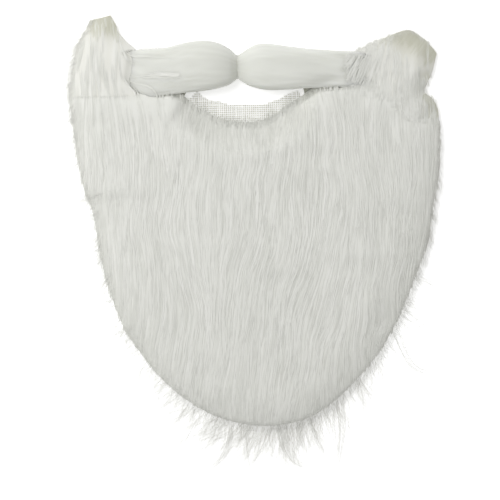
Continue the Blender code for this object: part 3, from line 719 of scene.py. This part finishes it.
beard_depth = signed_depth(fur_outline)
surface = np.where(beard_depth > 0, fur_height(map_x, map_y), skirt(beard_depth, RIM_HEIGHT))
on_net = inside(map_x, map_y, np.vstack([frayed, under_fur]))
surface = np.where(on_net, np.maximum(surface, NET_TOP), surface)
ear_sides, ear_rims, ear_depth = {}, {}, {}
for name, edges in EAR_EDGES.items():
    ear = {side: smooth_curve(line, EAR_POINTS) for side, line in edges.items()}
    ear_sides[name] = ear
    ear_rims[name] = np.vstack([ear["left"][::-1], ear["top"][1:], ear["right"][1:]])
    ear_depth[name] = signed_depth(np.vstack([ear_rims[name], ear["bottom"][::-1][1:]]))
for name, depth in ear_depth.items():
    surface = np.maximum(surface, np.where(depth > 0, ear_height(map_x, map_y, name), skirt(depth, EAR_RIM)))
roll_ends = np.where(np.abs(map_x - MOUTH_MIDDLE) > MOUTH_HALF, roll_top(map_x, map_y), 0)
surface = np.maximum(surface, roll_ends)
# Hair bridges the seams and the gaps beside the roll's ends, so narrow valleys are closed there
closed = -widened(-widened(surface, SEAM_CLOSED), SEAM_CLOSED)
surface = np.where((closed > 4.0) & (roll_ends < 3.0) & ~on_net, np.maximum(surface, closed), surface)
for step in range(MAP_SMOOTHING):
    surface = (surface * 2 + sum(neighbours(surface))) / 6


def layer(plan, base, height):
    """A closed layer: the grid at its heights, a wall from its rim down to the base, and a floor."""
    rows, columns = plan.shape[:2]
    index = np.arange(rows * columns).reshape(rows, columns)
    rim = np.concatenate([index[0], index[1:, -1], index[-1, -2::-1], index[-2:0:-1, 0]])
    quads = np.stack([index[:-1, :-1], index[1:, :-1], index[1:, 1:], index[:-1, 1:]], -1).reshape(-1, 4)
    top = np.dstack([plan, height]).reshape(-1, 3)
    bottom = np.column_stack([top[rim, :2], np.full(len(rim), base)])
    under = index.size + np.arange(len(rim))
    walls = np.stack([rim, np.roll(rim, -1), np.roll(under, -1), under], -1)
    return np.vstack([top, bottom]), [quads, walls, under[None, :]]


DOWN_GRAIN = (1.0, 0.09, 0.3)
HIDDEN_UNDER_LOCKS = 0.1
RIDGE_RISE = 0.14
THINNEST_FUR = 0.3
SEAM_TUCK = 5.0
ROLL_TUCK = 1.6
ROLL_TUCK_WIDTH = 12.0
# How many of the beard's rows lie under the roll or the ears, and how far the grounds dip at a seam,
# row by row from its rim
TUCKED_ROWS = 3
RAISED_ROWS = 12
BEARD_DIP = [1.6, 0.4]
EAR_DIP = [2.2, 1.3, 0.8, 0.4, 0.15]
FUR_COLUMNS = 160
FUR_ROWS = 140
NET_MIDDLE = -10.0
NET_HALF = 48.0
NET_FADE = 12.0


def past_net(x):
    """From 0 over the bare net to 1 on both sides of it, by a straight fade."""
    return np.clip((np.abs(x - NET_MIDDLE) - NET_HALF) / NET_FADE, 0, 1)


def raised_edge(rise):
    """The fur's top edge, moved up under the roll and the ears."""
    return top_edge[:, :2] + np.outer(past_net(top_edge[:, 0]), (0, rise))


# Crimped under-hair, dense and matt: it fills between the locks, so no dark gap shows
under_hair = fibre_material("white_fur_under_hair", "#DADBD4", "#E9E9E4", 0.75, DOWN_GRAIN, 0.2)
# The same hair worn thin at the tabs' ends, where the undyed cloth under it gives an olive cast; its dark
# colour there also holds painted shade.
ear_fibre = fibre_material("thin_ear_fur", "#CDCCBD", "#E9E9E4", 0.8, DOWN_GRAIN, 0.2)
tucked_edge = smooth_curve(raised_edge(SEAM_TUCK), FUR_COLUMNS + 1)
raised = np.outer(np.clip(1 - np.arange(FUR_ROWS + 1) / RAISED_ROWS, 0, 1), (0, SEAM_TUCK))
grounds = {"beard_pile": patch(tucked_edge, smooth_curve(CHIN_EDGE, FUR_COLUMNS + 1),
                               smooth_curve(LEFT_EDGE, FUR_ROWS + 1) + raised,
                               smooth_curve(RIGHT_EDGE, FUR_ROWS + 1) + raised)}
for name, ear in ear_sides.items():
    grounds[name] = patch(ear["top"], ear["bottom"], ear["left"], ear["right"])
    grounds[name][-1, :, 1] -= EAR_SEAM_OVERLAP
for name, plan in grounds.items():
    x, y = plan[..., 0], plan[..., 1]
    ridges = 0.55 * hair_ridges(x, y, 2.6, 20) + 0.45 * hair_ridges(x, y, 5.5, 30)
    height = read_map(surface, x, y)
    on_pile = np.clip((height - PILE_BASE - 1.0) / 6.0, 0, 1)
    height = height + (RIDGE_RISE * ridges - HIDDEN_UNDER_LOCKS) * on_pile
    height = np.maximum(height, PILE_BASE + THINNEST_FUR)
    if name == "beard_pile":
        tone = 0.5 + 0.3 * ridges
        under_roll = PILE_BASE + np.interp(x[0], top_edge[:, 0], top_edge[:, 2])
        height[:TUCKED_ROWS] = np.minimum(height[:TUCKED_ROWS], under_roll)
        height[:len(BEARD_DIP)] -= np.outer(BEARD_DIP, past_net(x[0]))
    else:
        # Darker towards the cut ends: the olive cloth showing through, and partly painted shade on the
        # sloping ends
        tone = 0.8 + 0.2 * ridges - bareness(x, y, BARE_ENDS[name])
        height[:-1 - len(EAR_DIP):-1] -= np.array(EAR_DIP)[:, None]
        sinks = (1 - ease(nearest_on(x, y, ear_rims[name])[0] / ROLL_TUCK_WIDTH)) * (roll_top(x, y) > 2)
        height = height * (1 - sinks) + (roll_top(x, y) - ROLL_TUCK) * sinks
    points, faces = layer(plan, PILE_BASE, height)
    material = under_hair if name == "beard_pile" else ear_fibre
    ground = add_piece(name + "_ground", points, faces, material, smooth=[True, False, False])
    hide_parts(name)
    paint(ground, tone)


# Fur locks: the long hair of the coat, crimped synthetic fibre in narrow locks that lie on the
# ground. Each lock is a few strands that start apart, sway together and draw closer at the tip.
# The left ear's hair runs on into the beard's without a break.
STRAND_STATIONS = 11
STRANDS_A_LOCK = 4
LOCK_STEPS = 18
STRAND_RADIUS = 0.25
STRAND_SIDES = 3
STRAND_SQUASH = 0.55
LOCK_HALF_WIDTH = 1.1
LOCK_SWAY = 0.07
# Tone of a lock, how much locks and their strands differ, and the share and tone of the few locks given a
# painted highlight
LOCK_TONE = 0.46
LOCK_TONES = 0.15
STRAND_TONES = 0.06
PAINTED_HIGHLIGHT_SHARE = 0.06
PAINTED_HIGHLIGHT_TONE = 0.35
BLOTCH_TONE = 0.14
BLOTCH_WIDTH = 26.0
# Long crimped acrylic hair: finer and a little glossier than the under-hair, so it draws the streaks
long_hair = fibre_material("long_white_fur", "#DADBD4", "#EAEAE5", 0.6, DOWN_GRAIN, 0.1)


def walk(starts, lengths, heading):
    """Paths of equal steps from their starts. heading gives the angle from straight down of a step
    that begins at x and y, after a share of the way."""
    path = [starts]
    for k in range(LOCK_STEPS):
        x, y = path[-1].T
        angle = heading(x, y, k / LOCK_STEPS)
        step = (lengths / LOCK_STEPS)[:, None] * np.column_stack([np.sin(angle), -np.cos(angle)])
        path.append(path[-1] + step)
    return np.stack(path, 1)


def comb(roots, lengths, lean, rng, curl):
    """Paths of locks: each step is turned by the lean of the hair where it begins and by the lock's
    own sway, a sine with a random phase."""
    phase = rng.uniform(0, 2 * math.pi, len(roots))
    turns = rng.uniform(0.8, 1.8, len(roots))
    sway = curl * rng.uniform(0.3, 1.0, len(roots))

    def heading(x, y, share):
        return lean(x, y) + sway * np.sin(phase + turns * 2 * math.pi * share)

    return walk(roots, lengths, heading)


def along_path(paths, t):
    """Points and directions of paths at shares of their length, by straight runs between points.
    paths is locks by points by xy, and t is locks by strands by stations."""
    steps = paths.shape[1] - 1
    place = np.clip(t, 0, 1) * steps
    k = np.minimum(place.astype(int), steps - 1)
    f = (place - k)[..., None]
    lock = np.arange(len(paths))[:, None, None]
    tangents = np.gradient(paths, axis=1)
    points = paths[lock, k] * (1 - f) + paths[lock, k + 1] * f
    headings = tangents[lock, k] * (1 - f) + tangents[lock, k + 1] * f
    return points, headings / np.maximum(np.linalg.norm(headings, axis=-1, keepdims=True), 1e-9)


def strands(paths, per_lock, half_width, radius, rng, crown=0.03, sink=0.5, gather=0.4, loft=0.14,
            stations=STRAND_STATIONS, span=None):
    """Strands of locks: each keeps its place across its lock, which gathers to the tip, and its
    height is the surface's, raised by a crown across and along the lock and by the strand's own
    loft, and sunk at the root. A negative gather spreads the tip.
    span holds the shares of each path where its strands may start and have to end."""
    count = len(paths)
    across = rng.uniform(-1, 1, (count, per_lock))
    start = rng.uniform(0, 0.2, (count, per_lock))
    end = rng.uniform(0.75, 1.0, (count, per_lock))
    if span is not None:
        start = np.where(span[0][:, None] > 0, span[0][:, None] + 0.1 * start, start)
        end = np.maximum(np.minimum(end, span[1][:, None]), start + 0.02)
    share = np.linspace(0, 1, stations)
    t = start[..., None] + (end - start)[..., None] * share
    plan, heading = along_path(paths, t)
    sideways = np.stack([-heading[..., 1], heading[..., 0]], -1)
    wobble = 0.12 * np.sin(2 * math.pi * (1.2 * t + rng.uniform(0, 1, (count, per_lock, 1))))
    spread = half_width * (1 - gather * t ** 1.2) * across[..., None] + half_width * wobble
    plan = plan + sideways * spread[..., None]
    rise = crown * (1 - across[..., None] ** 2) * np.sin(math.pi * np.clip(share, 0.02, 0.98)) ** 0.6
    lay = loft * rng.uniform(0.2, 1.0, (count, per_lock, 1)) - sink * (1 - share) ** 5
    z = read_map(surface, plan[..., 0], plan[..., 1]) + rise + lay
    z = np.maximum(z, FLOOR_HAIR * 0.7)
    shade = BLOTCH_TONE * soft_noise(plan[:, :, 0, 0], plan[:, :, 0, 1], BLOTCH_WIDTH, 75)
    # A few locks are made lighter in tone: a painted highlight
    shade = shade + PAINTED_HIGHLIGHT_TONE * (rng.uniform(0, 1, (count, 1)) < PAINTED_HIGHLIGHT_SHARE)
    shade = shade + rng.normal(LOCK_TONE, LOCK_TONES, (count, 1))
    shade = shade + rng.normal(0, STRAND_TONES, (count, per_lock))
    points = np.concatenate([plan, z[..., None]], -1).reshape(-1, stations, 3)
    taper = (0.55 + 0.45 * np.sin(math.pi * np.minimum(share * 1.4, 0.5))) * np.sqrt(1 - 0.97 * share ** 3)
    radii = radius * rng.uniform(0.8, 1.2, (count * per_lock, 1)) * taper
    tone = shade.reshape(-1, 1) + 0.1 * (share - 0.5)
    return points, radii, tone


def add_hair(name, groups, material):
    """One piece of many strands: their flattened tubes, each point with its strand's tone."""
    points, faces = join([tubes(paths, radii, STRAND_SIDES, STRAND_SQUASH) for paths, radii, tone in groups])
    piece = add_piece(name, points, faces, material, smooth=False)
    paint(piece, np.concatenate([np.repeat(tone.ravel(), STRAND_SIDES) for paths, radii, tone in groups]))


def scattered_roots(pitch, low, high, rng):
    """Roots on a brick grid of a pitch across and down, each moved at random within its cell."""
    xs = np.arange(low[0], high[0], pitch[0])
    ys = np.arange(low[1], high[1], pitch[1])
    gx, gy = np.meshgrid(xs, ys)
    gx = gx + (np.arange(len(ys)) % 2)[:, None] * pitch[0] / 2
    jitter = rng.uniform(-0.5, 0.5, (2,) + gx.shape)
    return np.column_stack([(gx + jitter[0] * pitch[0]).ravel(), (gy + jitter[1] * pitch[1]).ravel()])


def trim(paths, depth_map, margin):
    """The shares of each path at which it enters the fur and leaves it again, by up to a margin
    past the rim: the crossings are read between the two points on either side."""
    depth = read_map(depth_map, paths[..., 0], paths[..., 1]) + margin
    steps = depth.shape[1] - 1
    lock = np.arange(len(depth))
    within = depth > 0
    enters = within.argmax(1)
    outside_again = (np.arange(steps + 1)[None, :] > enters[:, None]) & ~within
    leaves = np.where(outside_again.any(1), outside_again.argmax(1), steps)
    before = np.maximum(enters - 1, 0)
    climb = depth[lock, enters] - depth[lock, before] + 1e-9
    entry = before + np.where(enters > 0, -depth[lock, before] / climb, 0)
    inner = np.maximum(leaves - 1, 0)
    drop = depth[lock, inner] - depth[lock, leaves] + 1e-9
    beyond = np.where(within[lock, leaves], 1.0, depth[lock, inner] / drop)
    return np.where(within.any(1), entry / steps, 1.0), (inner + np.clip(beyond, 0, 1)) / steps


# x, y, reach across and down, and lean of each place where the hair bends
BENDS = [(-75, 5, 40, 45, 0.14), (25, -10, 45, 90, -0.12)]
EAR_FAN = -0.55
ONTO_ROLL = 1.55
STILL_FREE = 0.3


def beard_lean(x, y):
    """Lean of the beard's hair from straight down, in radians and to the right where positive: a
    slight drift to the left, long soft waves with finer ones on them, a Gaussian bend each way
    beside the middle, a fan at the left ear, and a turn on to the roll's left end."""
    free = -0.03 - 0.07 * np.clip(-y / 120, -0.4, 1)
    free = free + 0.2 * soft_noise(x, y * 1.5, 38.0, 71) + 0.15 * soft_noise(x * 0.7, y, 15.0, 72)
    for cx, cy, wide, tall, lean in BENDS:
        free = free + lean * np.exp(-((x - cx) / wide) ** 2 - ((y - cy) / tall) ** 2)
    fan = EAR_FAN * np.clip((-136 - x) / 14, 0, 1) * np.clip((y - 130) / 40, 0, 1)
    at_roll = ease((x + 114) / 16) * ease((y - 123) / 16) * (x < -40)
    return free * (1 + (STILL_FREE - 1) * at_roll) + fan + ONTO_ROLL * at_roll


# Under the roll the hair starts a little further up. The left ear's hair runs on to the roll's end.
HAIR_UNDER_ROLL = 1.0
EAR_ROOTS_RIGHT = -97
ROLL_END = [
    (-106.4, 169.3), (-99, 163.5), (-88, 163), (-74, 164), (-62, 166), (-57, 158), (-57, 134), (-60, 127),
]
PAST_RIM = 0.8
SHORTEST_STRAND = 4.0
ROOT_PITCH = (2.5, 14.0)
ROOTS_LOW = (-160, -150)
ROOTS_HIGH = (158, 232)
STRAND_LENGTH = (46, 78)
EAR_TOP = 150
EAR_TOP_LENGTH = 0.55
hair_line = raised_edge(HAIR_UNDER_ROLL)[::-1]
left_ear = ear_sides["ear_fur_left"]
upper_right = left_ear["right"][left_ear["right"][:, 1] > 170]
with_roll_end = signed_depth(np.vstack([
    outer_rim, hair_line[hair_line[:, 0] > -60], smooth_curve(ROLL_END, 60)[::-1], upper_right[::-1],
    left_ear["top"][::-1], left_ear["left"],
]))
without_roll = signed_depth(np.vstack([outer_rim, hair_line]))
rng = np.random.default_rng(21)
roots = scattered_roots(ROOT_PITCH, ROOTS_LOW, ROOTS_HIGH, rng)
lengths = rng.uniform(*STRAND_LENGTH, len(roots)) * np.where(roots[:, 1] > EAR_TOP, EAR_TOP_LENGTH, 1)
paths = comb(roots, lengths, beard_lean, rng, LOCK_SWAY)
of_ear = (roots[:, 0] < EAR_ROOTS_RIGHT) | (roots[:, 1] < 100)
enter, leave = np.where(of_ear, trim(paths, with_roll_end, PAST_RIM), trim(paths, without_roll, PAST_RIM))
starts = along_path(paths, enter[:, None, None])[0][:, 0, 0]
bare = bareness(starts[:, 0], starts[:, 1], BARE_ENDS["ear_fur_left"])
kept = ((leave - enter) * lengths > SHORTEST_STRAND) & (rng.uniform(0, 1, len(roots)) > bare)
paths, enter, leave, roots = paths[kept], enter[kept], leave[kept], roots[kept]
# Lowest and highest root of each piece that the coat is made in
COAT_BANDS = {
    "coat_cheeks": (98, 999),
    "coat_upper": (42, 98),
    "coat_middle": (-15, 42),
    "coat_chin": (-999, -15),
}
for name, (low_y, high_y) in COAT_BANDS.items():
    chosen = (roots[:, 1] >= low_y) & (roots[:, 1] < high_y)
    group = strands(paths[chosen], STRANDS_A_LOCK, LOCK_HALF_WIDTH, STRAND_RADIUS, rng,
                    span=(enter[chosen], leave[chosen]))
    add_hair(name, [group], long_hair)

# First hairs: thin and sparse on the net above the fur's edge, which they make soft
NET_HAIR_REACH = 10.0
NET_HAIR_RADIUS = 0.17
rng = np.random.default_rng(27)
roots = scattered_roots((1.1, 2.4), (-58, 96), (46, 128), rng)
over_net = (read_map(on_net.astype(float), roots[:, 0], roots[:, 1]) > 0.9)
near_fur = read_map(beard_depth, roots[:, 0], roots[:, 1])
roots = roots[over_net & (near_fur < 0) & (near_fur > -rng.uniform(0, 1, len(roots)) ** 1.3 * NET_HAIR_REACH)]
paths = comb(roots, rng.uniform(14, 32, len(roots)), beard_lean, rng, 0.2)
first_hairs = strands(paths, 2, 1.0, NET_HAIR_RADIUS, rng, crown=0.0, sink=0.1, loft=0.3, stations=8)
add_hair("first_hairs", [first_hairs], long_hair)


# Fringe: the hair at the rim that falls past the cloth and lies on what the beard lies on. It is
# short at the cheeks and long at the chin, a thin veil with a few long curling wisps.
# Share of the line, length past it, lean in degrees from straight down, the curl along the hair in
# degrees, and how crowded the hairs are
CHIN_FRINGE = [
    (0.00, 7, -20, -10, 1.8), (0.08, 8, -22, -12, 1.7), (0.15, 10, -34, -15, 1.4),
    (0.24, 14, -44, -10, 1.0), (0.32, 20, -46, -14, 0.8), (0.40, 30, -42, -10, 1.2),
    (0.45, 42, -34, -20, 1.8), (0.49, 44, -16, -34, 2.6), (0.53, 44, -12, -22, 2.9),
    (0.57, 42, -8, 20, 2.9), (0.61, 38, -4, 46, 2.2), (0.66, 38, -6, 14, 1.3), (0.71, 24, 10, 34, 0.9),
    (0.77, 17, 26, 36, 0.9), (0.84, 11, 18, 20, 1.5), (0.92, 10, 12, 10, 1.9), (1.00, 6, 6, -4, 1.2),
]
LEFT_EAR_FUZZ = [
    (0.0, 3, -75, 10, 0.4), (0.3, 9, -62, 14, 1.0), (0.6, 10, -46, 8, 1.2), (1.0, 10, -34, 4, 1.3),
]
ROLL_FLUFF = [(0.0, 5, 120, -30, 1.0), (1.0, 9, 96, -20, 0.6)]
RIGHT_EAR_FLUFF = [(0.0, 5, -110, 40, 0.8), (0.5, 6, -135, 50, 1.4), (1.0, 2, -150, 30, 0.3)]
LEFT_ROLL_TOP = [(-99, 162.5), (-90, 163), (-78, 163.5)]
# Root, two bends and tip, as x and y, and the number of hairs, of the long wisps in the photograph
WISPS = [
    (-120, 42, -134, 40, -142, 35, -151, 36, 14), (-122, 34, -132, 29, -140, 25, -147, 20, 8),
    (-112, -20, -124, -26, -130, -42, -138, -53, 8), (-95, -62, -106, -68, -114, -72, -121, -76, 8),
    (-90, -76, -112, -90, -150, -96, -139, -111, 9), (-139, -111, -134, -117, -116, -114, -98, -90, 6),
    (-62, -112, -66, -124, -74, -128, -83, -133, 8),
    (-42, -128, -52, -144, -58, -166, -79, -185, 10), (-52, -126, -62, -142, -76, -152, -95, -168, 7),
    (-24, -132, -18, -160, -24, -178, -48, -186, 26), (-7, -136, -10, -160, -6, -176, -5, -190, 7),
    (20, -134, 20, -160, 26, -182, 47, -181, 22), (42, -130, 50, -148, 50, -164, 60, -173, 16),
    (66, -112, 74, -142, 70, -168, 65, -189, 16), (62, -116, 66, -136, 58, -156, 70, -172, 9),
    (110, -56, 122, -84, 122, -106, 152, -104, 13), (110, -46, 124, -54, 136, -66, 147, -72, 8),
    (126, -22, 138, -26, 144, -30, 151, -36, 8),
]
FRINGE_RADIUS = 0.08
FRINGE_STATIONS = 10
WISP_STATIONS = 12
FUZZ_STATIONS = 7
WISP_HALF_WIDTH = 4.2
DEEPEST_ROOT = 8.0
VEIL_LOCKS = 420
VEIL_STRANDS = 3
VEIL_HALF_WIDTH = 2.6
STRAYS = 1350
STRAY_HALF_WIDTH = 0.6


def edge_hairs(line, table, count, rng, scatter, reach):
    """Paths of hairs along a line. Each starts at the table's lean and turns by its curl. Both are
    swayed by noise along the line, so that neighbours flow together, and by chance, by the scatter
    in degrees. reach holds the least and the greatest share of the table's length."""
    table = np.asarray(table, float)
    crowd = np.concatenate([[0], np.cumsum(np.diff(table[:, 0]) * (table[1:, 4] + table[:-1, 4]) / 2)])
    share = np.interp(rng.uniform(0.004, 0.99, count) * crowd[-1], crowd, table[:, 0])
    length, lean, curl = [np.interp(share, table[:, 0], table[:, k]) for k in (1, 2, 3)]
    step = np.linalg.norm(np.diff(line, axis=0), axis=1)
    along = np.concatenate([[0], np.cumsum(step)]) / step.sum()
    rim = np.column_stack([np.interp(share, along, line[:, k]) for k in (0, 1)])
    place = share * step.sum()
    sway = soft_noise(place, 0 * place, 15.0, 91)
    twist = soft_noise(place, 0 * place, 19.0, 93) + 0.3 * soft_noise(place, 0 * place, 6.0, 94)
    behind = rng.uniform(1, DEEPEST_ROOT, count)
    total = behind + length * rng.uniform(reach[0], reach[1], count)
    start = np.radians(lean + 12 * sway + rng.normal(0, scatter, count))
    bend = np.radians(curl + 36 * twist + rng.normal(0, scatter * 1.6, count))
    wave = rng.uniform(0.1, 0.6, count)
    phase = rng.uniform(0, 2 * math.pi, count)

    def heading(x, y, share):
        return start + bend * share ** 1.4 + wave * np.sin(phase + 6 * share)

    roots = rim - behind[:, None] * np.column_stack([np.sin(start), -np.cos(start)])
    return walk(roots, total, heading)


def bezier(rows, count):
    """Cubic curves: each row's root, two bends and tip are its control points."""
    corners = np.asarray(rows, float)[:, :8].reshape(-1, 4, 1, 2)
    t = np.linspace(0, 1, count)[:, None]
    weights = ((1 - t) ** 3, 3 * (1 - t) ** 2 * t, 3 * (1 - t) * t ** 2, t ** 3)
    return sum(weight * corners[:, k] for k, weight in enumerate(weights))


rng = np.random.default_rng(33)
veil_paths = edge_hairs(outer_rim, CHIN_FRINGE, VEIL_LOCKS, rng, 7, (0.3, 1.15))
veil = strands(veil_paths, VEIL_STRANDS, VEIL_HALF_WIDTH, FRINGE_RADIUS, rng, crown=0.4, sink=1.0,
               gather=-0.6, loft=0.8, stations=FRINGE_STATIONS)
stray_paths = edge_hairs(outer_rim, CHIN_FRINGE, STRAYS, rng, 17, (0.25, 1.2))
strays = strands(stray_paths, 1, STRAY_HALF_WIDTH, FRINGE_RADIUS, rng, crown=0.4, sink=1.0, loft=1.2,
                 stations=FRINGE_STATIONS)
groups = [veil, strays]
for row in WISPS:
    groups.append(strands(bezier([row], LOCK_STEPS + 1), row[8], WISP_HALF_WIDTH, FRINGE_RADIUS, rng,
                          crown=0.8, sink=1.0, gather=0.6, loft=0.8, stations=WISP_STATIONS))
for line, table, count in (
    (left_ear["left"], LEFT_EAR_FUZZ, 520),
    (smooth_curve(LEFT_ROLL_TOP, 20), ROLL_FLUFF, 60),
    (ear_sides["ear_fur_right"]["top"], RIGHT_EAR_FLUFF, 190),
):
    fuzz_paths = edge_hairs(line, table, count, rng, 16, (0.2, 1.1))
    groups.append(strands(fuzz_paths, 1, STRAY_HALF_WIDTH, FRINGE_RADIUS, rng, crown=0.2, sink=1.0, loft=0.8,
                          stations=FUZZ_STATIONS))
# Single acrylic hairs: nearly white and apart, so that the veil looks see-through
rim_hair = fibre_material("rim_hair", "#DADAD4", "#ECECE8", 0.6, DOWN_GRAIN)
add_hair("fringe", groups, rim_hair)


# Right ear's hair and the tabs' bare ends: the hair of the right tab sprays down and left over the
# moustache's end. At the cut ends the fur is worn thin, and the ribs of its knitted ground show.
RIB_PITCH = 1.2
RIB_RADIUS = 0.32
RIB_POINTS = 60
EAR_LOCK_STRANDS = 6
EAR_LOCK_HALF_WIDTH = 1.9
# Left of SPRAY_RIGHT the right ear's hair runs on over the roll, by a share of its length
SPRAY_RIGHT = 106
SPRAY_PAST_RIM = 0.2
# Ear, lowest and highest corner of the bare end, lean of the ribs and their length
BARE_RIBS = [
    ("ear_fur_left", (-137, 172), (-112, 196), 0.0, 17.0),
    ("ear_fur_right", (104, 158), (152, 186), -0.62, 15.0),
    ("ear_fur_right", (140, 108), (156, 126), -0.95, 8.0),
]


def right_ear_lean(x, y):
    """Down and to the left near the moustache, straight down at the outer edge, with soft waves."""
    spray = -0.8 * np.clip((112 - x) / 40, 0, 1) * np.clip((y - 122) / 24, 0, 1)
    return spray + 0.18 * soft_noise(x, y, 14.0, 83) + 0.1 * soft_noise(x, y, 6.0, 84)


rng = np.random.default_rng(44)
roots = scattered_roots((3.0, 6.5), (74, 104), (158, 204), rng)
lengths = rng.uniform(16, 34, len(roots))
paths = comb(roots, lengths, right_ear_lean, rng, 0.15)
enter, leave = trim(paths, ear_depth["ear_fur_right"], 1.5)
starts = along_path(paths, enter[:, None, None])[0][:, 0, 0]
bare = bareness(starts[:, 0], starts[:, 1], BARE_ENDS["ear_fur_right"])
leave = np.where(starts[:, 0] < SPRAY_RIGHT, np.minimum(leave + SPRAY_PAST_RIM, 1.0), leave)
kept = ((leave - enter) * lengths > 5) & (rng.uniform(0, 1, len(roots)) > 1.5 * bare)
group = strands(paths[kept], EAR_LOCK_STRANDS, EAR_LOCK_HALF_WIDTH, STRAND_RADIUS, rng,
                span=(enter[kept], leave[kept]))
add_hair("ear_fur_right_locks", [group], long_hair)

groups = []
for name, low, high, lean, length in BARE_RIBS:
    direction = np.array([math.sin(lean), -math.cos(lean)])
    across = np.array([-direction[1], direction[0]])
    middle = (np.array(low) + high) / 2
    half = np.linalg.norm(np.array(high) - low) / 2
    offsets = np.arange(-half, half, RIB_PITCH)
    tops = middle + offsets[:, None] * across - half * direction
    ribs = tops[:, None] + (np.linspace(0, 2 * half, RIB_POINTS)[:, None] * direction)[None]
    enter, leave = trim(ribs, ear_depth[name], 0.6)
    entry = along_path(ribs, enter[:, None, None])[0][:, 0, 0]
    kept = (enter < 0.95) & (entry[:, 0] > low[0]) & (entry[:, 1] > low[1]) & (entry[:, 0] < high[0])
    stop = np.minimum(leave[kept], enter[kept] + length * rng.uniform(0.7, 1.2, kept.sum()) / (2 * half))
    groups.append(strands(ribs[kept], 1, 0.12, RIB_RADIUS, rng, crown=0.0, loft=0.15, sink=-0.2, stations=12,
                          span=(enter[kept], stop)))
# Undyed knitted thread: matt and yellower than the hair, so the cut ends look olive
rib_thread = fibre_material("knitted_ground", "#C6C6B4", "#DADACD", 0.85, DOWN_GRAIN)
add_hair("tab_threads", groups, rib_thread)


# Studio: a plain pale floor, one broad soft light from the upper left and an even white surround.
# The floor is a white acrylic table lit from below, which takes the shadows off it
floor_material, tree, shader = new_material("pale_light_table", {
    "Base Color": linear("#F8F8F8"), "Emission Color": (1.0, 1.0, 1.0, 1.0), "Emission Strength": 0.35,
    "Roughness": 0.9, "Specular IOR Level": 0.0,
})
FLOOR_HALF = 3.0
KEY_WIDTH = 0.9
KEY_POWER = 8.8
KEY_PLACE = (-0.6, 0.46, 1.05)
SURROUND_STRENGTH = 0.56
floor_corners = [(x * FLOOR_HALF, y * FLOOR_HALF, 0) for x, y in ((-1, -1), (1, -1), (1, 1), (-1, 1))]
floor_mesh = bpy.data.meshes.new("floor")
floor_mesh.from_pydata(floor_corners, [], [(0, 1, 2, 3)])
floor_mesh.materials.append(floor_material)
floor = add_object("floor", floor_mesh)
floor.location.z = -0.2 * MM

world = bpy.data.worlds.new("studio")
world.use_nodes = True
world.node_tree.nodes["Background"].inputs["Color"].default_value = (1.0, 1.0, 1.0, 1.0)
world.node_tree.nodes["Background"].inputs["Strength"].default_value = SURROUND_STRENGTH
bpy.context.scene.world = world
light_data = bpy.data.lights.new("soft_key", "AREA")
light_data.shape = "DISK"
light_data.size = KEY_WIDTH
light_data.energy = KEY_POWER
key = add_object("soft_key", light_data)
key.location = KEY_PLACE
key.rotation_euler = (-key.location).to_track_quat("-Z", "Y").to_euler()
bpy.context.scene.view_settings.view_transform = "Standard"
